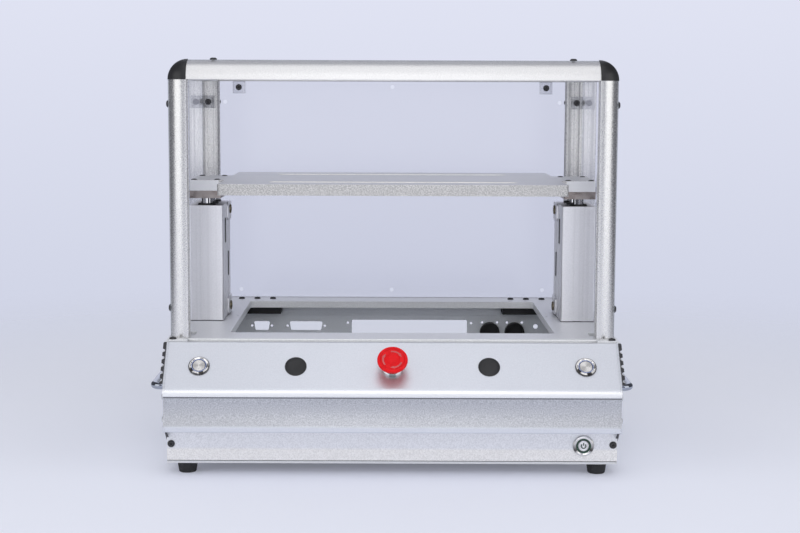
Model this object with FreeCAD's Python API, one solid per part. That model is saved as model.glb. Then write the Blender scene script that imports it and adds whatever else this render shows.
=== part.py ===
import FreeCAD, Part
import math
import os

# Desktop press fixture for testing circuit boards: an aluminium base with a sloped control panel,
# a deck with a cassette opening, two guided air cylinders that carry a press plate, and a clear hood.
# Millimetres. +X to the operator's right, +Y to the back, +Z up. The origin is on the table,
# under the middle of the whole object.

# Base box
base_width = 471.0           # across the outer faces of the side plates
base_depth = 390.0           # nose of the control slope to the back of the rear panel
deck_top = 140.0             # table to the deck's upper face
deck_thickness = 8.0
deck_side_inset = 1.0        # side plate's outer face to the deck's edge
deck_set_back = 52.0         # nose to the deck's front edge
deck_edge_round = 1.2
foot_height = 12.0
floor_wall = 2.5
floor_gap = 0.5              # bottom plate to the plates round it
side_wall = 2.0
panel_wall = 3.0             # front profile, lower panel and rear panel

# Control slope and the front profile's outline
slope_tilt = 43.0            # degrees from the vertical
slope_drop = 2.0             # slope's top edge below the deck
nose_radius = 8.0
nose_drop = 48.5             # deck down to the middle of the nose
nose_edge_drop = 4.0         # nose centre down to the edge under the nose
nose_undercut = 1.5
cove_depth = 4.0
lip_height = 50.5            # underside of the overhanging lip
lip_face = 6.5
lip_round = 1.5
lip_chamfer = 0.8
side_slant_start = 13.0      # side plate's slanted edge under the lip, behind the nose
side_slant = 11.0            # and its fall to the lower panel
lower_set_back = 29.0        # nose to the lower panel
shelf_overlap = 12.0         # lip's shelf behind the lower panel's face
flange_length = 20.0         # ledge under the deck's front edge
profile_boss_radius = 4.0
profile_boss_bite = 0.5      # boss let into the wall behind it

# Finned side rails
rail_reach = 4.0             # rail's outer face beyond the side plate
rail_rise = 18.5             # base's floor to the rail's lower edge
rail_bevel = 17.0            # height over which the rail reaches its full depth
rail_chamfer = 1.0
rail_set_back = 1.5          # rail's front end behind the slope
fin_band = 36.0              # rail's top down to the lowest groove
fin_count = 5
fin_pitch = 6.6
fin_groove = 3.4
fin_depth = 2.6
rail_step_drop = 2.0         # below the lowest groove by this much the rail stops short of the slope
deck_side_gap = 0.5

# Deck opening
opening_side_margin = 16.0   # column to the opening's side edge
opening_front_margin = 43.0  # deck's front edge to the opening
opening_rear_margin = 45.0   # opening to the back of the rear panel
opening_round = 4.0
cassette_hole = 3.3
cassette_hole_offset = 4.0   # opening's side edge to the cassette screw
wire_slot_width = 8.0        # slots in the deck behind the front posts
wire_slot_length = 22.0
wire_slot_gap = 3.5          # front post's inner corner to the slot
wire_slot_round = 1.0

# Feet and handles
foot_inset_side = 19.8
foot_inset_front = 43.0
foot_inset_rear = 20.0
foot_radius_top = 11.0
foot_radius_floor = 9.2
foot_edge = 0.8
foot_recess = 6.6            # floor to the seat of the foot's screw
foot_well_gap = 1.2
handle_pitch = 120.0
handle_bar = 8.0
handle_drop = 7.5            # below the middle of the rail's plain band
handle_reach = 33.5          # rail to the outside of the grip
handle_bend = 10.0
handle_collar = 14.0
handle_collar_height = 3.5

# Controls
control_rise = 26.3          # nose end of the slope up to the controls' centres
start_inset = 35.5           # side plate's outer face to the start button
power_drop = 0.7             # power button below the middle of the lower panel
switch_hole = 19.2
thread_gap = 0.2             # barrel in its panel hole, all round
bezel_diameter = 22.0
bezel_height = 2.2
bezel_step = 0.4             # bezel's rim above the light ring
cap_diameter = 13.6          # start buttons, with a thin light ring
power_cap_diameter = 11.4    # power button, with a wide one
cap_height = 6.0
cap_edge = 0.5
cap_set_down = 0.1           # cap below the bezel's rim
cap_clearance = 0.3
switch_travel = 2.0
switch_depth = 24.0
ring_diameter = 15.6
ring_height = 1.0
ring_gap = 0.1
switch_nut = 24.0
switch_nut_height = 3.0
plug_flange = 22.5
plug_skirt = 8.0
plug_wall = 1.5
plug_edge = 0.5
plug_dome = 1.4
estop_hole = 16.2
estop_barrel = 8.0           # barrel behind the panel
estop_collar_diameter = 20.8
estop_collar_height = 4.5
estop_nut_wall = 3.0         # nut across flats, beyond the collar's diameter
estop_nut_height = 4.0
estop_rise = 23.7            # the stop button sits a little lower on the slope than the others
estop_head_diameter = 31.4
estop_head_height = 9.5
estop_head_round = 1.6
estop_face = 19.0            # control slope to the top of the head
estop_neck_wall = 2.5
estop_rim_width = 2.6
estop_dish_radius = 7.0
estop_dish_depth = 1.2
estop_stem_diameter = 9.0
estop_stem_clearance = 0.3
estop_stem_end = 2.0         # stem past the end of the barrel
estop_travel = 4.0
estop_block = 30.0
estop_block_depth = 34.0
estop_block_round = 2.0
terminal_slot = 6.0          # width of a recess for a terminal screw
terminal_slot_length = 8.0
terminal_slot_depth = 4.0
terminal_slot_pitch = 16.0

# Columns: guided air cylinders
column_inset = 25.5          # side plate's outer face to the column's middle
column_width = 38.0
column_depth = 82.0
column_spare = 19.0          # room left above the raised piston
column_round = 2.0
piston_bore = 25.0
piston_gap = 1.0             # bore's end plug to the lowered piston
piston_fit = 0.3
piston_groove = 3.0
piston_groove_depth = 1.5
rod_diameter = 12.0
guide_pitch = 56.0
guide_bore = 13.0
bush_wall = 3.0
bush_length = 14.0
bush_lip = 2.0
bush_lip_reach = 1.2
bush_fit = 0.05
rod_clearance = 0.05
stroke = 75.0
gasket = 0.8
gasket_inset = 0.5
cap_plug = 10.0
cap_plug_fit = 0.1
piston_height = 12.0
strip_width = 10.8           # shallow recess up the column's front and back
strip_depth = 0.8
sensor_slot = 4.6
sensor_slot_depth = 4.0
sensor_slot_pitch = 30.0
sensor_length = 28.0
sensor_gap = 0.2
sensor_proud = 0.8
sensor_round = 0.6
front_sensor_drop = 16.0     # column's top down to the sensor
rear_sensor_drop = 57.0
port_inset = 16.0            # column's back face to the ports
port_rise = 8.5
port_diameter = 11.0
port_depth = 6.0
port_pad = 1.5               # raised pad round each port
port_pad_depth = 34.0
port_pad_height = 20.5
port_pad_round = 4.0
port_plug_proud = 1.7
port_plug_bevel = 0.8
port_plug_socket = 5.0
port_plug_fit = 0.2

# Press plate and end plates
rod_gap = 8.5                # column top to the end plate
end_plate_width = 35.5
end_plate_depth = 90.0
end_plate_thickness = 8.5
end_plate_round = 1.0
press_side_margin = 22.0     # column's middle to the side edge of the press plate
press_thickness = 12.0
press_round = 2.0
slot_edge_round = 0.8        # upper edges of the press plate's slots
ear_reach = 17.0             # ear past the column's middle
ear_depth = 96.0
ear_round = 6.0
press_slot_end = 51.5        # side edge of the press plate to the slot
press_slot_width = 18.0
press_slot_margin = 47.0     # front or back edge to the slot's middle
ear_screw_pitch_x = 26.0
ear_screw_pitch_y = 79.0
press_sink = 1.2             # the press screws' heads let into the plate
press_sink_gap = 0.3

# Hood
hood_height = 291.5
hood_set_back = 2.0          # deck's front edge to the posts
hood_rear_inset = 4.0        # back of the hood to the back of the rear panel
profile_radius = 20.5
profile_core = 3.5
core_share = 0.36            # core hole's place, as a share of the profile's radius
profile_bevel = 0.8          # on the profile's inner corner
groove_inset = 7.2           # profile's inner corner to the groove in each flat
groove_width = 6.5
groove_depth = 2.0
cap_proud = 1.0              # ball corner beyond the rails' round face
window_wall = 2.0
window_lap = 6.0
window_gap = 0.2
low_screw_rise = 30.0        # deck to the posts' lower screws
high_screw_drop = 46.0       # hood's top to the posts' upper screws
top_screw_inset = 27.0       # post's inner corner to the top rail's screws
block_size = 15.0
block_inset = 25.0           # post's inner corner to the blocks in the rear window
rear_hole_diameter = 5.0
rear_hole_inset = 6.5        # post's inner corner to the upper holes in the rear window
rear_hole_rise = 10.0        # deck to the lower holes
rear_hole_drop = 27.0        # hood's top to the middle hole

# Rear panel cut-outs, seen from the front; sideways from the side plates, heights from the deck's underside
connector_drop = 29.0
small_connector_inset = 69.1
small_connector_pitch = 24.99
small_connector_width = 20.5
large_connector_inset = 125.1
large_connector_pitch = 47.04
large_connector_width = 42.0
connector_cut_height = 11.4
connector_slant = 10.0       # degrees on each end of the D shape
connector_round = 2.0
connector_hole = 3.2
window_left_inset = 183.1
window_right_inset = 137.9
window_drop = 21.0
window_cut_height = 40.0
window_hole_margin = 5.2
window_hole_drop = 4.0       # cable window's top edge down to its screw holes
blank_inset = 109.1
blank_pitch = 31.4
blank_drop = 36.0
blank_hole = 25.0
blank_flange = 27.2
blank_skirt = 10.0
blank_screw_pitch_x = 19.0
blank_screw_pitch_z = 24.0
line_hole_inset = 50.9
line_hole = 6.0
stiffener_drop = 14.5
stiffener_wall = 3.0
inlet_rise = 25.5            # base's floor to the inlets
inlet_barrel = 14.0          # inlet's barrel behind the panel
inlet_nut = 4.0
inlet_nut_wall = 2.5
inlet_step = 2.0
inlet_fit = 0.1
air_inlet_inset = 83.5
air_inlet_hole = 12.2
air_inlet_flange = 17.0
fitting_reach = 10.0         # air inlet behind the rear panel
air_tube = 6.1
air_tube_depth = 16.0
power_inlet_inset = 138.5
power_inlet_hole = 11.2
power_inlet_flange = 15.0
power_inlet_reach = 3.0
power_socket = 5.6
power_socket_depth = 9.0
bracket_inset = 67.0         # side plate's outer face to the joint block's middle
bracket_length = 60.0
bracket_depth = 26.0
bracket_height = 10.3
bracket_round = 1.0

# Valve and control board inside the base
valve_width = 18.0
valve_length = 64.0
valve_height = 28.0
valve_round = 1.0
valve_shift = 20.0           # in front of the press's middle
valve_port = 9.0
valve_port_pitch = 24.0
coil_width = 22.0
coil_length = 26.0
coil_rise = 2.0
coil_round = 2.0
board_width = 42.0
board_length = 120.0
board_wall = 1.6
board_rise = 8.0
board_shift = 10.0
board_leg = 6.0
board_leg_inset = 5.0
relay_width = 15.0
relay_length = 19.0
relay_height = 15.4
relay_pitch = 24.0
relay_shift = 6.0
terminal_width = 10.0
terminal_length = 96.0
terminal_height = 10.4
terminal_inset = 1.0

# Fasteners: one button-head size throughout
head_diameter = 7.6
head_height = 2.2
shank_diameter = 3.9
shank_length = 9.0
socket_width = 2.5
socket_depth = 1.2
screw_hole = 4.2
boss_size = 12.0
boss_reach = 8.0             # front bosses inward from the side plates
deck_screw_inset = 20.0      # back of the rear panel to the deck's rear screws
deck_screw_pitch = 19.5
corner_screw_side = 3.8      # deck's side edge to its front corner screw
corner_screw_front = 4.0
lower_screw_inset = 4.5      # side plate's outer face to the lower panel's screw
lip_screw_rise = 5.0         # lip's top edge up to the lower side screw
nose_screw_drop = 5.5        # nose centre down to the upper side screw
rear_screw_rise = 15.5       # base's floor to the rear panel's lower screws
rear_screw_drop = 24.0       # deck's underside to the upper ones
through = 1.0                # how far a cut runs past the wall it goes through

V = FreeCAD.Vector
UP = V(0, 0, 1)
BACK = V(0, 1, 0)
FRONT = V(0, -1, 0)
RIGHT = V(1, 0, 0)

# Places worked out from the sizes above. The stop button's head stands out in front of the nose.
tilt = math.radians(slope_tilt)
slope_up = V(0, math.sin(tilt), math.cos(tilt))
slope_out = V(0, -math.cos(tilt), math.sin(tilt))
head_round_radius = estop_head_diameter / 2 - estop_head_round
head_round_rise = estop_face - estop_head_round
estop_overhang = (head_round_radius * slope_up.y - head_round_rise * slope_out.y + estop_head_round
                  - nose_radius * (1 + slope_out.y) - estop_rise * slope_up.y)
nose_y = (estop_overhang - base_depth - fitting_reach) / 2
rear_y = nose_y + base_depth
rear_inner = rear_y - panel_wall
half_width = base_width / 2
inner_half = half_width - side_wall
floor_top = foot_height + floor_wall

# Deck, slope and lower front
deck_front = nose_y + deck_set_back
deck_bottom = deck_top - deck_thickness
deck_half = half_width - deck_side_inset
slope_top = deck_top - slope_drop
nose_height = deck_top - nose_drop
nose_centre = V(0, nose_y + nose_radius, nose_height)
slope_foot = nose_centre + slope_out * nose_radius
slope_head = slope_foot + slope_up * ((slope_top - slope_foot.z) / slope_up.z)
slope_inner = slope_foot - slope_out * panel_wall
ear_front = slope_inner.y + slope_up.y * (slope_top - slope_inner.z) / slope_up.z + deck_side_gap
profile_inner_y = nose_y + cove_depth + panel_wall
profile_boss_y = profile_inner_y + profile_boss_radius - profile_boss_bite
lip_top = lip_height + lip_face
lower_face = nose_y + lower_set_back
lower_back = lower_face + panel_wall
lower_middle = (floor_top + lip_height) / 2

# Controls
start_x = half_width - start_inset
plug_x = start_x / 2
control_line = slope_foot + slope_up * control_rise
estop_point = slope_foot + slope_up * estop_rise
power_point = V(start_x, lower_face, lower_middle - power_drop)
estop_barrel_end = -(panel_wall + estop_barrel)

# Side rails
rail_bottom = floor_top + rail_rise
rail_full = rail_bottom + rail_bevel
rail_top = slope_top
fin_bottom = rail_top - fin_band
handle_height = (rail_full + fin_bottom) / 2 - handle_drop

# Columns, deck opening and press
column_x = half_width - column_inset
column_inner = column_x - column_width / 2
column_height = cap_plug + piston_gap + piston_height + stroke + column_spare + bush_length
column_bottom = deck_top + gasket
column_top = deck_top + column_height
opening_half = column_inner - opening_side_margin
opening_depth = base_depth - deck_set_back - opening_front_margin - opening_rear_margin
press_y = deck_front + opening_front_margin + opening_depth / 2
bush_bottom = column_top - bush_length
end_plate_bottom = column_top + rod_gap
press_bottom = end_plate_bottom + end_plate_thickness
press_top = press_bottom + press_thickness
press_half = column_x - press_side_margin
press_depth = opening_depth
rod_radius = rod_diameter / 2
bush_bore = rod_radius + rod_clearance
rod_ys = [press_y - guide_pitch / 2, press_y, press_y + guide_pitch / 2]

# Hood
hood_front = deck_front + hood_set_back
hood_rear = rear_y - hood_rear_inset
hood_top = deck_top + hood_height
post_x = half_width - profile_radius
post_front_y = hood_front + profile_radius
post_rear_y = hood_rear - profile_radius
rail_z = hood_top - profile_radius
window_seat = profile_radius - window_wall
low_screw_z = deck_top + low_screw_rise
high_screw_z = hood_top - high_screw_drop
block_x = post_x - block_inset

# Rear panel
bracket_x = half_width - bracket_inset
connector_height = deck_bottom - connector_drop
small_connector_x = small_connector_inset - inner_half
large_connector_x = large_connector_inset - inner_half
window_left = window_left_inset - inner_half
window_right = inner_half - window_right_inset
window_top = deck_bottom - window_drop
blank_xs = [inner_half - blank_inset, inner_half - blank_inset + blank_pitch]
blank_height = deck_bottom - blank_drop
line_hole_x = inner_half - line_hole_inset
air_inlet_x = air_inlet_inset - inner_half
power_inlet_x = power_inlet_inset - inner_half
inlet_height = floor_top + inlet_rise
rear_screw_heights = (floor_top + rear_screw_rise, deck_bottom - rear_screw_drop)


def box(x0, x1, y0, y1, z0, z1):
    return Part.makeBox(x1 - x0, y1 - y0, z1 - z0, V(x0, y0, z0))


def rod(diameter, start, along):
    """Round bar from a point, along a vector that also gives its length."""
    return Part.makeCylinder(diameter / 2, along.Length, start, along)


def outline(start, *steps):
    """Closed face from a start point; a step is a point, or (via, end) for an arc."""
    edges = []
    here = start
    for step in steps + (start,):
        if isinstance(step, tuple):
            edges.append(Part.Arc(here, step[0], step[1]).toShape())
            here = step[1]
        elif here.distanceToPoint(step) > 1e-6:
            edges.append(Part.LineSegment(here, step).toShape())
            here = step
    return Part.Face(Part.Wire(edges))


def turned(*steps):
    """Solid of revolution about Z from (radius, height) steps, as for outline."""
    def lift(step):
        if isinstance(step[0], tuple):
            return (lift(step[0]), lift(step[1]))
        return V(step[0], 0, step[1])
    points = [lift(step) for step in steps]
    return outline(points[0], *points[1:]).revolve(V(0, 0, 0), UP, 360)


def aimed(shape, place, direction):
    """Copy of a shape built along +Z, set at a place and turned to a direction."""
    copy = shape.copy()
    copy.Placement = FreeCAD.Placement(place, FreeCAD.Rotation(UP, direction)).multiply(shape.Placement)
    return copy


def mirrored(shape):
    return shape.mirror(V(0, 0, 0), RIGHT)


def fused(first, *others):
    shape = first.fuse(list(others))
    return shape.removeSplitter()


def rounded(shape, radius, wanted):
    """Fillet the edges whose middle point and direction the test accepts."""
    edges = []
    for edge in shape.Edges:
        if len(edge.Vertexes) == 2:
            start, end = edge.Vertexes[0].Point, edge.Vertexes[1].Point
            if wanted((start + end) * 0.5, (end - start).normalize()):
                edges.append(edge)
    return shape.makeFillet(radius, edges)


def upright(middle, along):
    return abs(along.z) > 0.999


def front_to_back(middle, along):
    return abs(along.y) > 0.999


def near(value, target):
    return abs(value - target) < 0.01


def dish(radius, rim_height, depth):
    """Arc step from a rim in to the axis, part of a ball about a point on the axis."""
    ball = (radius ** 2 + depth ** 2) / (2 * depth)
    half = radius / 2
    return ((half, rim_height - depth + ball - math.sqrt(ball ** 2 - half ** 2)), (0, rim_height - depth))


def hex_prism(across, height):
    radius = across / math.sqrt(3)
    corners = [V(radius * math.cos(math.radians(60 * k)), radius * math.sin(math.radians(60 * k)), 0)
               for k in range(6)]
    return outline(corners[0], *corners[1:]).extrude(UP * height)


# Fasteners

def button_screw():
    """Domed screw with its head's seat at z = 0 and its shank below."""
    rim = head_diameter / 2
    crown = rim * 0.45
    shoulder = (rim * 0.82, head_height * 0.72)
    shank = shank_diameter / 2
    body = turned((0, -shank_length), (shank, -shank_length), (shank, 0), (rim, 0), (rim, head_height * 0.3),
                  (shoulder, (crown, head_height)), (0, head_height))
    socket = hex_prism(socket_width, socket_depth)
    socket.translate(UP * (head_height - socket_depth))
    return body.cut(socket)


SCREW = button_screw()


def screws(sites):
    return [aimed(SCREW, place, direction) for place, direction in sites]


def drilled(shape, sites, diameter=screw_hole, depth=shank_length + 2):
    """Holes for screws whose heads seat at the sites; each hole also passes whatever lies above."""
    for place, direction in sites:
        start = place + direction * head_height
        shape = shape.cut(rod(diameter, start, direction * -(depth + head_height)))
    return shape


def both_sides(sites):
    return sites + [(V(-place.x, place.y, place.z), V(-direction.x, direction.y, direction.z))
                    for place, direction in sites]


def foot_places():
    x = half_width - foot_inset_side
    return [V(side * x, y, 0) for side in (-1, 1) for y in (nose_y + foot_inset_front, rear_y - foot_inset_rear)]


foot_sites = [(place + UP * foot_recess, -UP) for place in foot_places()]
deck_sites = both_sides([(V(bracket_x + step, rear_y - deck_screw_inset, deck_top), UP)
                         for step in (-deck_screw_pitch, 0, deck_screw_pitch)]
                        + [(V(deck_half - corner_screw_side, ear_front + corner_screw_front, deck_top), UP)])
lower_sites = both_sides([(V(half_width - lower_screw_inset, lower_face, lower_middle), FRONT)])
side_sites = both_sides([(V(half_width, profile_boss_y, height), RIGHT)
                         for height in (lip_top + lip_screw_rise, nose_height - nose_screw_drop)])
rear_sites = both_sides([(V(inner_half - boss_size / 2, rear_y, height), BACK) for height in rear_screw_heights])
lap_screw = window_lap / 2
hood_side_sites = both_sides([(V(half_width, y, z), RIGHT) for z in (low_screw_z, high_screw_z)
                              for y in (post_front_y - lap_screw, post_rear_y + lap_screw)])
hood_rear_sites = both_sides([(V(post_x + lap_screw, hood_rear, z), BACK) for z in (low_screw_z, high_screw_z)])
hood_top_sites = both_sides([(V(post_x - top_screw_inset, y, hood_top), UP)
                             for y in (post_front_y - lap_screw, post_rear_y + lap_screw)])
block_sites = both_sides([
    (V(block_x, post_rear_y + window_seat - block_size, rail_z - block_size / 2), FRONT),
    (V(post_x + window_seat - block_size / 2, post_rear_y - block_size, high_screw_z), FRONT)])
press_sites = both_sides([(V(column_x + dx, press_y + dy, press_top - press_sink), UP)
                          for dx in (-ear_screw_pitch_x / 2, ear_screw_pitch_x / 2)
                          for dy in (-ear_screw_pitch_y / 2, ear_screw_pitch_y / 2)])


# Base

def slope_at(height, line=slope_foot):
    """Y of the slope, or of a line parallel to it, at a height."""
    return line.y + slope_up.y * (height - line.z) / slope_up.z


def control(x):
    return control_line + RIGHT * x


def front_edge(x):
    """Steps down the front: round the nose, in under its edge, along the cove and out to the lip's face."""
    edge_y = nose_centre.y - math.sqrt(nose_radius ** 2 - nose_edge_drop ** 2)
    edge = V(x, edge_y, nose_height - nose_edge_drop)
    cove_mid = V(x, nose_y + cove_depth, (edge.z + lip_top) / 2)
    return [V(x, slope_foot.y, slope_foot.z), (V(x, nose_y, nose_height), edge), edge + V(0, nose_undercut, 0),
            (cove_mid, V(x, nose_y + lip_chamfer, lip_top)), V(x, nose_y, lip_top - lip_chamfer)]


def front_profile():
    """Extruded front: slope, bullnose, cove and overhanging lip, with screw bosses at the back."""
    round_mid = lip_round * (1 - math.sqrt(0.5))
    shelf_end = lower_face + shelf_overlap
    skin = outline(
        slope_head, *front_edge(0), V(0, nose_y, lip_height + lip_round),
        (V(0, nose_y + round_mid, lip_height + round_mid), V(0, nose_y + lip_round, lip_height)),
        V(0, shelf_end, lip_height), V(0, shelf_end, lip_height + panel_wall),
        V(0, profile_inner_y, lip_height + panel_wall),
        V(0, profile_inner_y, slope_inner.z + (profile_inner_y - slope_inner.y) / math.tan(tilt)),
        V(0, slope_at(slope_top, slope_inner), slope_top))
    skin.translate(RIGHT * -inner_half)
    along = RIGHT * (2 * inner_half)
    ledge_start = slope_at(deck_bottom - panel_wall, slope_inner) - profile_boss_bite
    ledge = box(-inner_half, inner_half, ledge_start, deck_front + flange_length,
                deck_bottom - panel_wall, deck_bottom)
    bosses = [rod(2 * profile_boss_radius, V(-inner_half, profile_boss_y, place.z), along)
              for place, direction in side_sites[:2]]
    shape = fused(skin.extrude(along), ledge, *bosses)
    inward = slope_out * -(panel_wall + 2 * through)
    for x in (-start_x, -plug_x, plug_x, start_x):
        shape = shape.cut(rod(switch_hole, control(x) + slope_out * through, inward))
    shape = shape.cut(rod(estop_hole, estop_point + slope_out * through, inward))
    return drilled(drilled(shape, side_sites), deck_sites, depth=deck_thickness + shank_length)


def lower_front_panel():
    """Recessed plate under the lip, with a return along its top."""
    back = lower_face + shelf_overlap - floor_gap
    top = lip_height
    bottom = floor_top + floor_gap
    section = outline(V(0, lower_face, bottom), V(0, lower_face, top), V(0, back, top),
                      V(0, back, top - panel_wall), V(0, lower_back, top - panel_wall), V(0, lower_back, bottom))
    section.translate(RIGHT * -half_width)
    shape = section.extrude(RIGHT * base_width)
    between_sides = box(-inner_half, inner_half, lower_face, back, bottom, top)
    face = box(-half_width, half_width, lower_face, lower_back, bottom, top)
    shape = shape.common(fused(between_sides, face))
    shape = shape.cut(rod(switch_hole, power_point + FRONT * through, BACK * (panel_wall + 2 * through)))
    return drilled(shape, lower_sites)


def side_plate_outline(x):
    """Side view of the base: slope, front edge, slant under the lip, set-back lower face."""
    slant_end = lower_face - floor_gap
    return outline(
        *front_edge(x), V(x, nose_y, lip_height), V(x, nose_y + side_slant_start, lip_height),
        V(x, slant_end, lip_height - side_slant), V(x, slant_end, lip_height), V(x, lower_back, lip_height),
        V(x, lower_back, floor_top), V(x, rear_y, floor_top), V(x, rear_y, deck_bottom),
        V(x, ear_front - deck_side_gap, deck_bottom), V(x, ear_front - deck_side_gap, slope_top),
        V(x, slope_head.y, slope_top))


def finned_rail():
    """Ribbed rail outside the plate, cut back to the slope at its front end."""
    outer = half_width + rail_reach
    lip_inner = deck_half + deck_side_gap
    points = [V(outer, 0, rail_full)]
    for k in range(fin_count):
        low = fin_bottom + k * fin_pitch
        points += [V(outer, 0, low), V(outer - fin_depth, 0, low + fin_groove * 0.3),
                   V(outer - fin_depth, 0, low + fin_groove * 0.7), V(outer, 0, low + fin_groove)]
    points += [V(outer, 0, rail_top - rail_chamfer), V(outer - rail_chamfer, 0, rail_top),
               V(lip_inner, 0, rail_top), V(lip_inner, 0, deck_bottom), V(half_width, 0, deck_bottom)]
    section = outline(V(half_width, 0, rail_bottom), *points)
    section.translate(BACK * nose_y)
    bar = section.extrude(BACK * base_depth)
    rail_step = fin_bottom - rail_step_drop
    side_view = outline(
        V(lip_inner, rear_y, rail_bottom), V(lip_inner, rear_y, rail_top),
        V(lip_inner, slope_at(rail_top) + rail_set_back, rail_top),
        V(lip_inner, slope_at(rail_step) + rail_set_back, rail_step),
        V(lip_inner, lower_back, rail_step), V(lip_inner, lower_back, rail_bottom))
    return bar.common(side_view.extrude(RIGHT * (outer - lip_inner)))


def right_side_panel():
    plate = side_plate_outline(inner_half).extrude(RIGHT * side_wall)
    half = boss_size / 2
    front_boss = box(inner_half - boss_reach, inner_half, lower_back, lower_back + boss_size,
                     lower_middle - half, lower_middle + half)
    rear_bosses = [box(inner_half - boss_size, inner_half, rear_inner - boss_size, rear_inner,
                       height - half, height + half) for height in rear_screw_heights]
    shape = fused(plate, finned_rail(), front_boss, *rear_bosses)
    return drilled(shape, lower_sites + side_sites + rear_sites)


def bottom_plate():
    shape = box(-half_width, half_width, lower_face - floor_gap, rear_y, foot_height, floor_top)
    for place in foot_places():
        shape = shape.cut(rod(screw_hole, place + UP * foot_height, UP * floor_wall))
    return shape


def deck_plate():
    """Deck with the cassette opening; its front corners run forward to take the front screws."""
    shape = box(-deck_half, deck_half, deck_front, rear_y, deck_bottom, deck_top)
    ear = box(post_x, deck_half, ear_front, deck_front, deck_bottom, deck_top)
    shape = fused(shape, ear, mirrored(ear))
    opening = box(-opening_half, opening_half, press_y - opening_depth / 2, press_y + opening_depth / 2,
                  deck_bottom, deck_top)
    shape = shape.cut(rounded(opening, opening_round, upright))
    cassette_x = opening_half + cassette_hole_offset
    for x in (-cassette_x, cassette_x):
        shape = shape.cut(rod(cassette_hole, V(x, press_y, deck_bottom), UP * deck_thickness))
    slot_start = post_front_y + wire_slot_gap
    slot = box(post_x - wire_slot_width / 2, post_x + wire_slot_width / 2, slot_start,
               slot_start + wire_slot_length, deck_bottom, deck_top)
    slot = rounded(slot, wire_slot_round, upright)
    shape = shape.cut(slot).cut(mirrored(slot))
    shape = rounded(shape, deck_edge_round,
                    lambda middle, along: near(middle.z, deck_top) and near(middle.y, deck_front))
    return drilled(shape, deck_sites)


def deck_brackets():
    """Joint blocks in the rear corners, between the deck and the rear panel."""
    back = rear_inner
    bar = box(bracket_x - bracket_length / 2, bracket_x + bracket_length / 2, back - bracket_depth, back,
              deck_bottom - bracket_height, deck_bottom)
    bar = rounded(bar, bracket_round, lambda middle, along: near(middle.z, deck_bottom - bracket_height))
    bar = drilled(bar, deck_sites)
    return [bar, mirrored(bar)]


def d_cutout(x, width):
    """D-shaped connector opening through the rear panel, wide side up."""
    drop = connector_cut_height * math.tan(math.radians(connector_slant))
    top, bottom = connector_height + connector_cut_height / 2, connector_height - connector_cut_height / 2
    start = rear_inner - stiffener_wall
    corners = [V(x - width / 2, start, top), V(x + width / 2, start, top),
               V(x + width / 2 - drop, start, bottom), V(x - width / 2 + drop, start, bottom)]
    block = outline(corners[0], *corners[1:]).extrude(BACK * (panel_wall + stiffener_wall))
    return rounded(block, connector_round, front_to_back)


def rear_panel():
    """Plate with open connector cut-outs, a cable window and a stiffened top edge."""
    plate = box(-inner_half, inner_half, rear_inner, rear_y, floor_top, deck_bottom)
    stiffener_half = bracket_x - bracket_length / 2 - deck_side_gap
    stiffener = box(-stiffener_half, stiffener_half, rear_inner - stiffener_wall, rear_inner,
                    deck_bottom - stiffener_drop, deck_bottom)
    shape = fused(plate, stiffener)
    holes = []
    for x, pitch, width in ((small_connector_x, small_connector_pitch, small_connector_width),
                            (large_connector_x, large_connector_pitch, large_connector_width)):
        shape = shape.cut(d_cutout(x, width))
        holes += [(x + side * pitch / 2, connector_height, connector_hole) for side in (-1, 1)]
    window = box(window_left, window_right, rear_inner, rear_y, window_top - window_cut_height, window_top)
    shape = shape.cut(rounded(window, connector_round, front_to_back))
    holes += [(x, window_top - window_hole_drop, connector_hole)
              for x in (window_left - window_hole_margin, window_right + window_hole_margin)]
    for x in blank_xs:
        holes.append((x, blank_height, blank_hole))
        holes += [(x + sx * blank_screw_pitch_x / 2, blank_height + sz * blank_screw_pitch_z / 2, connector_hole)
                  for sx in (-1, 1) for sz in (-1, 1)]
    holes += [(line_hole_x, connector_height, line_hole), (air_inlet_x, inlet_height, air_inlet_hole),
              (power_inlet_x, inlet_height, power_inlet_hole)]
    for x, z, diameter in holes:
        shape = shape.cut(rod(diameter, V(x, rear_inner, z), BACK * panel_wall))
    return drilled(shape, rear_sites)


def rubber_feet():
    """Tapered feet with a counterbored screw hole."""
    well = head_diameter / 2 + foot_well_gap
    foot = turned((screw_hole / 2, foot_recess), (well, foot_recess), (well, 0),
                  (foot_radius_floor - foot_edge, 0), (foot_radius_floor, foot_edge),
                  (foot_radius_top, foot_height), (screw_hole / 2, foot_height))
    return [aimed(foot, place, UP) for place in foot_places()]


def right_handle():
    """Bent-bar pull handle standing off the rail, with a collar at each foot."""
    start = half_width + rail_reach
    grip = start + handle_reach - handle_bar / 2
    low, high = press_y - handle_pitch / 2, press_y + handle_pitch / 2
    bend = handle_bend
    inside = bend * (1 - math.sqrt(0.5))
    z = handle_height
    path = Part.Wire([
        Part.LineSegment(V(start, low, z), V(grip - bend, low, z)).toShape(),
        Part.Arc(V(grip - bend, low, z), V(grip - inside, low + inside, z), V(grip, low + bend, z)).toShape(),
        Part.LineSegment(V(grip, low + bend, z), V(grip, high - bend, z)).toShape(),
        Part.Arc(V(grip, high - bend, z), V(grip - inside, high - inside, z), V(grip - bend, high, z)).toShape(),
        Part.LineSegment(V(grip - bend, high, z), V(start, high, z)).toShape()])
    ring = Part.Wire([Part.makeCircle(handle_bar / 2, V(start, low, z), RIGHT)])
    bar = path.makePipeShell([ring], True, False)
    tall = handle_collar_height
    collar = turned((0, 0), (handle_collar / 2, 0), (handle_collar / 2, tall * 0.6), (handle_collar * 0.3, tall),
                    (0, tall))
    feet = [aimed(collar, V(start, y, z), RIGHT) for y in (low, high)]
    return fused(bar, *feet)


# Controls, built along +Z with the panel's face at z = 0

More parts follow.
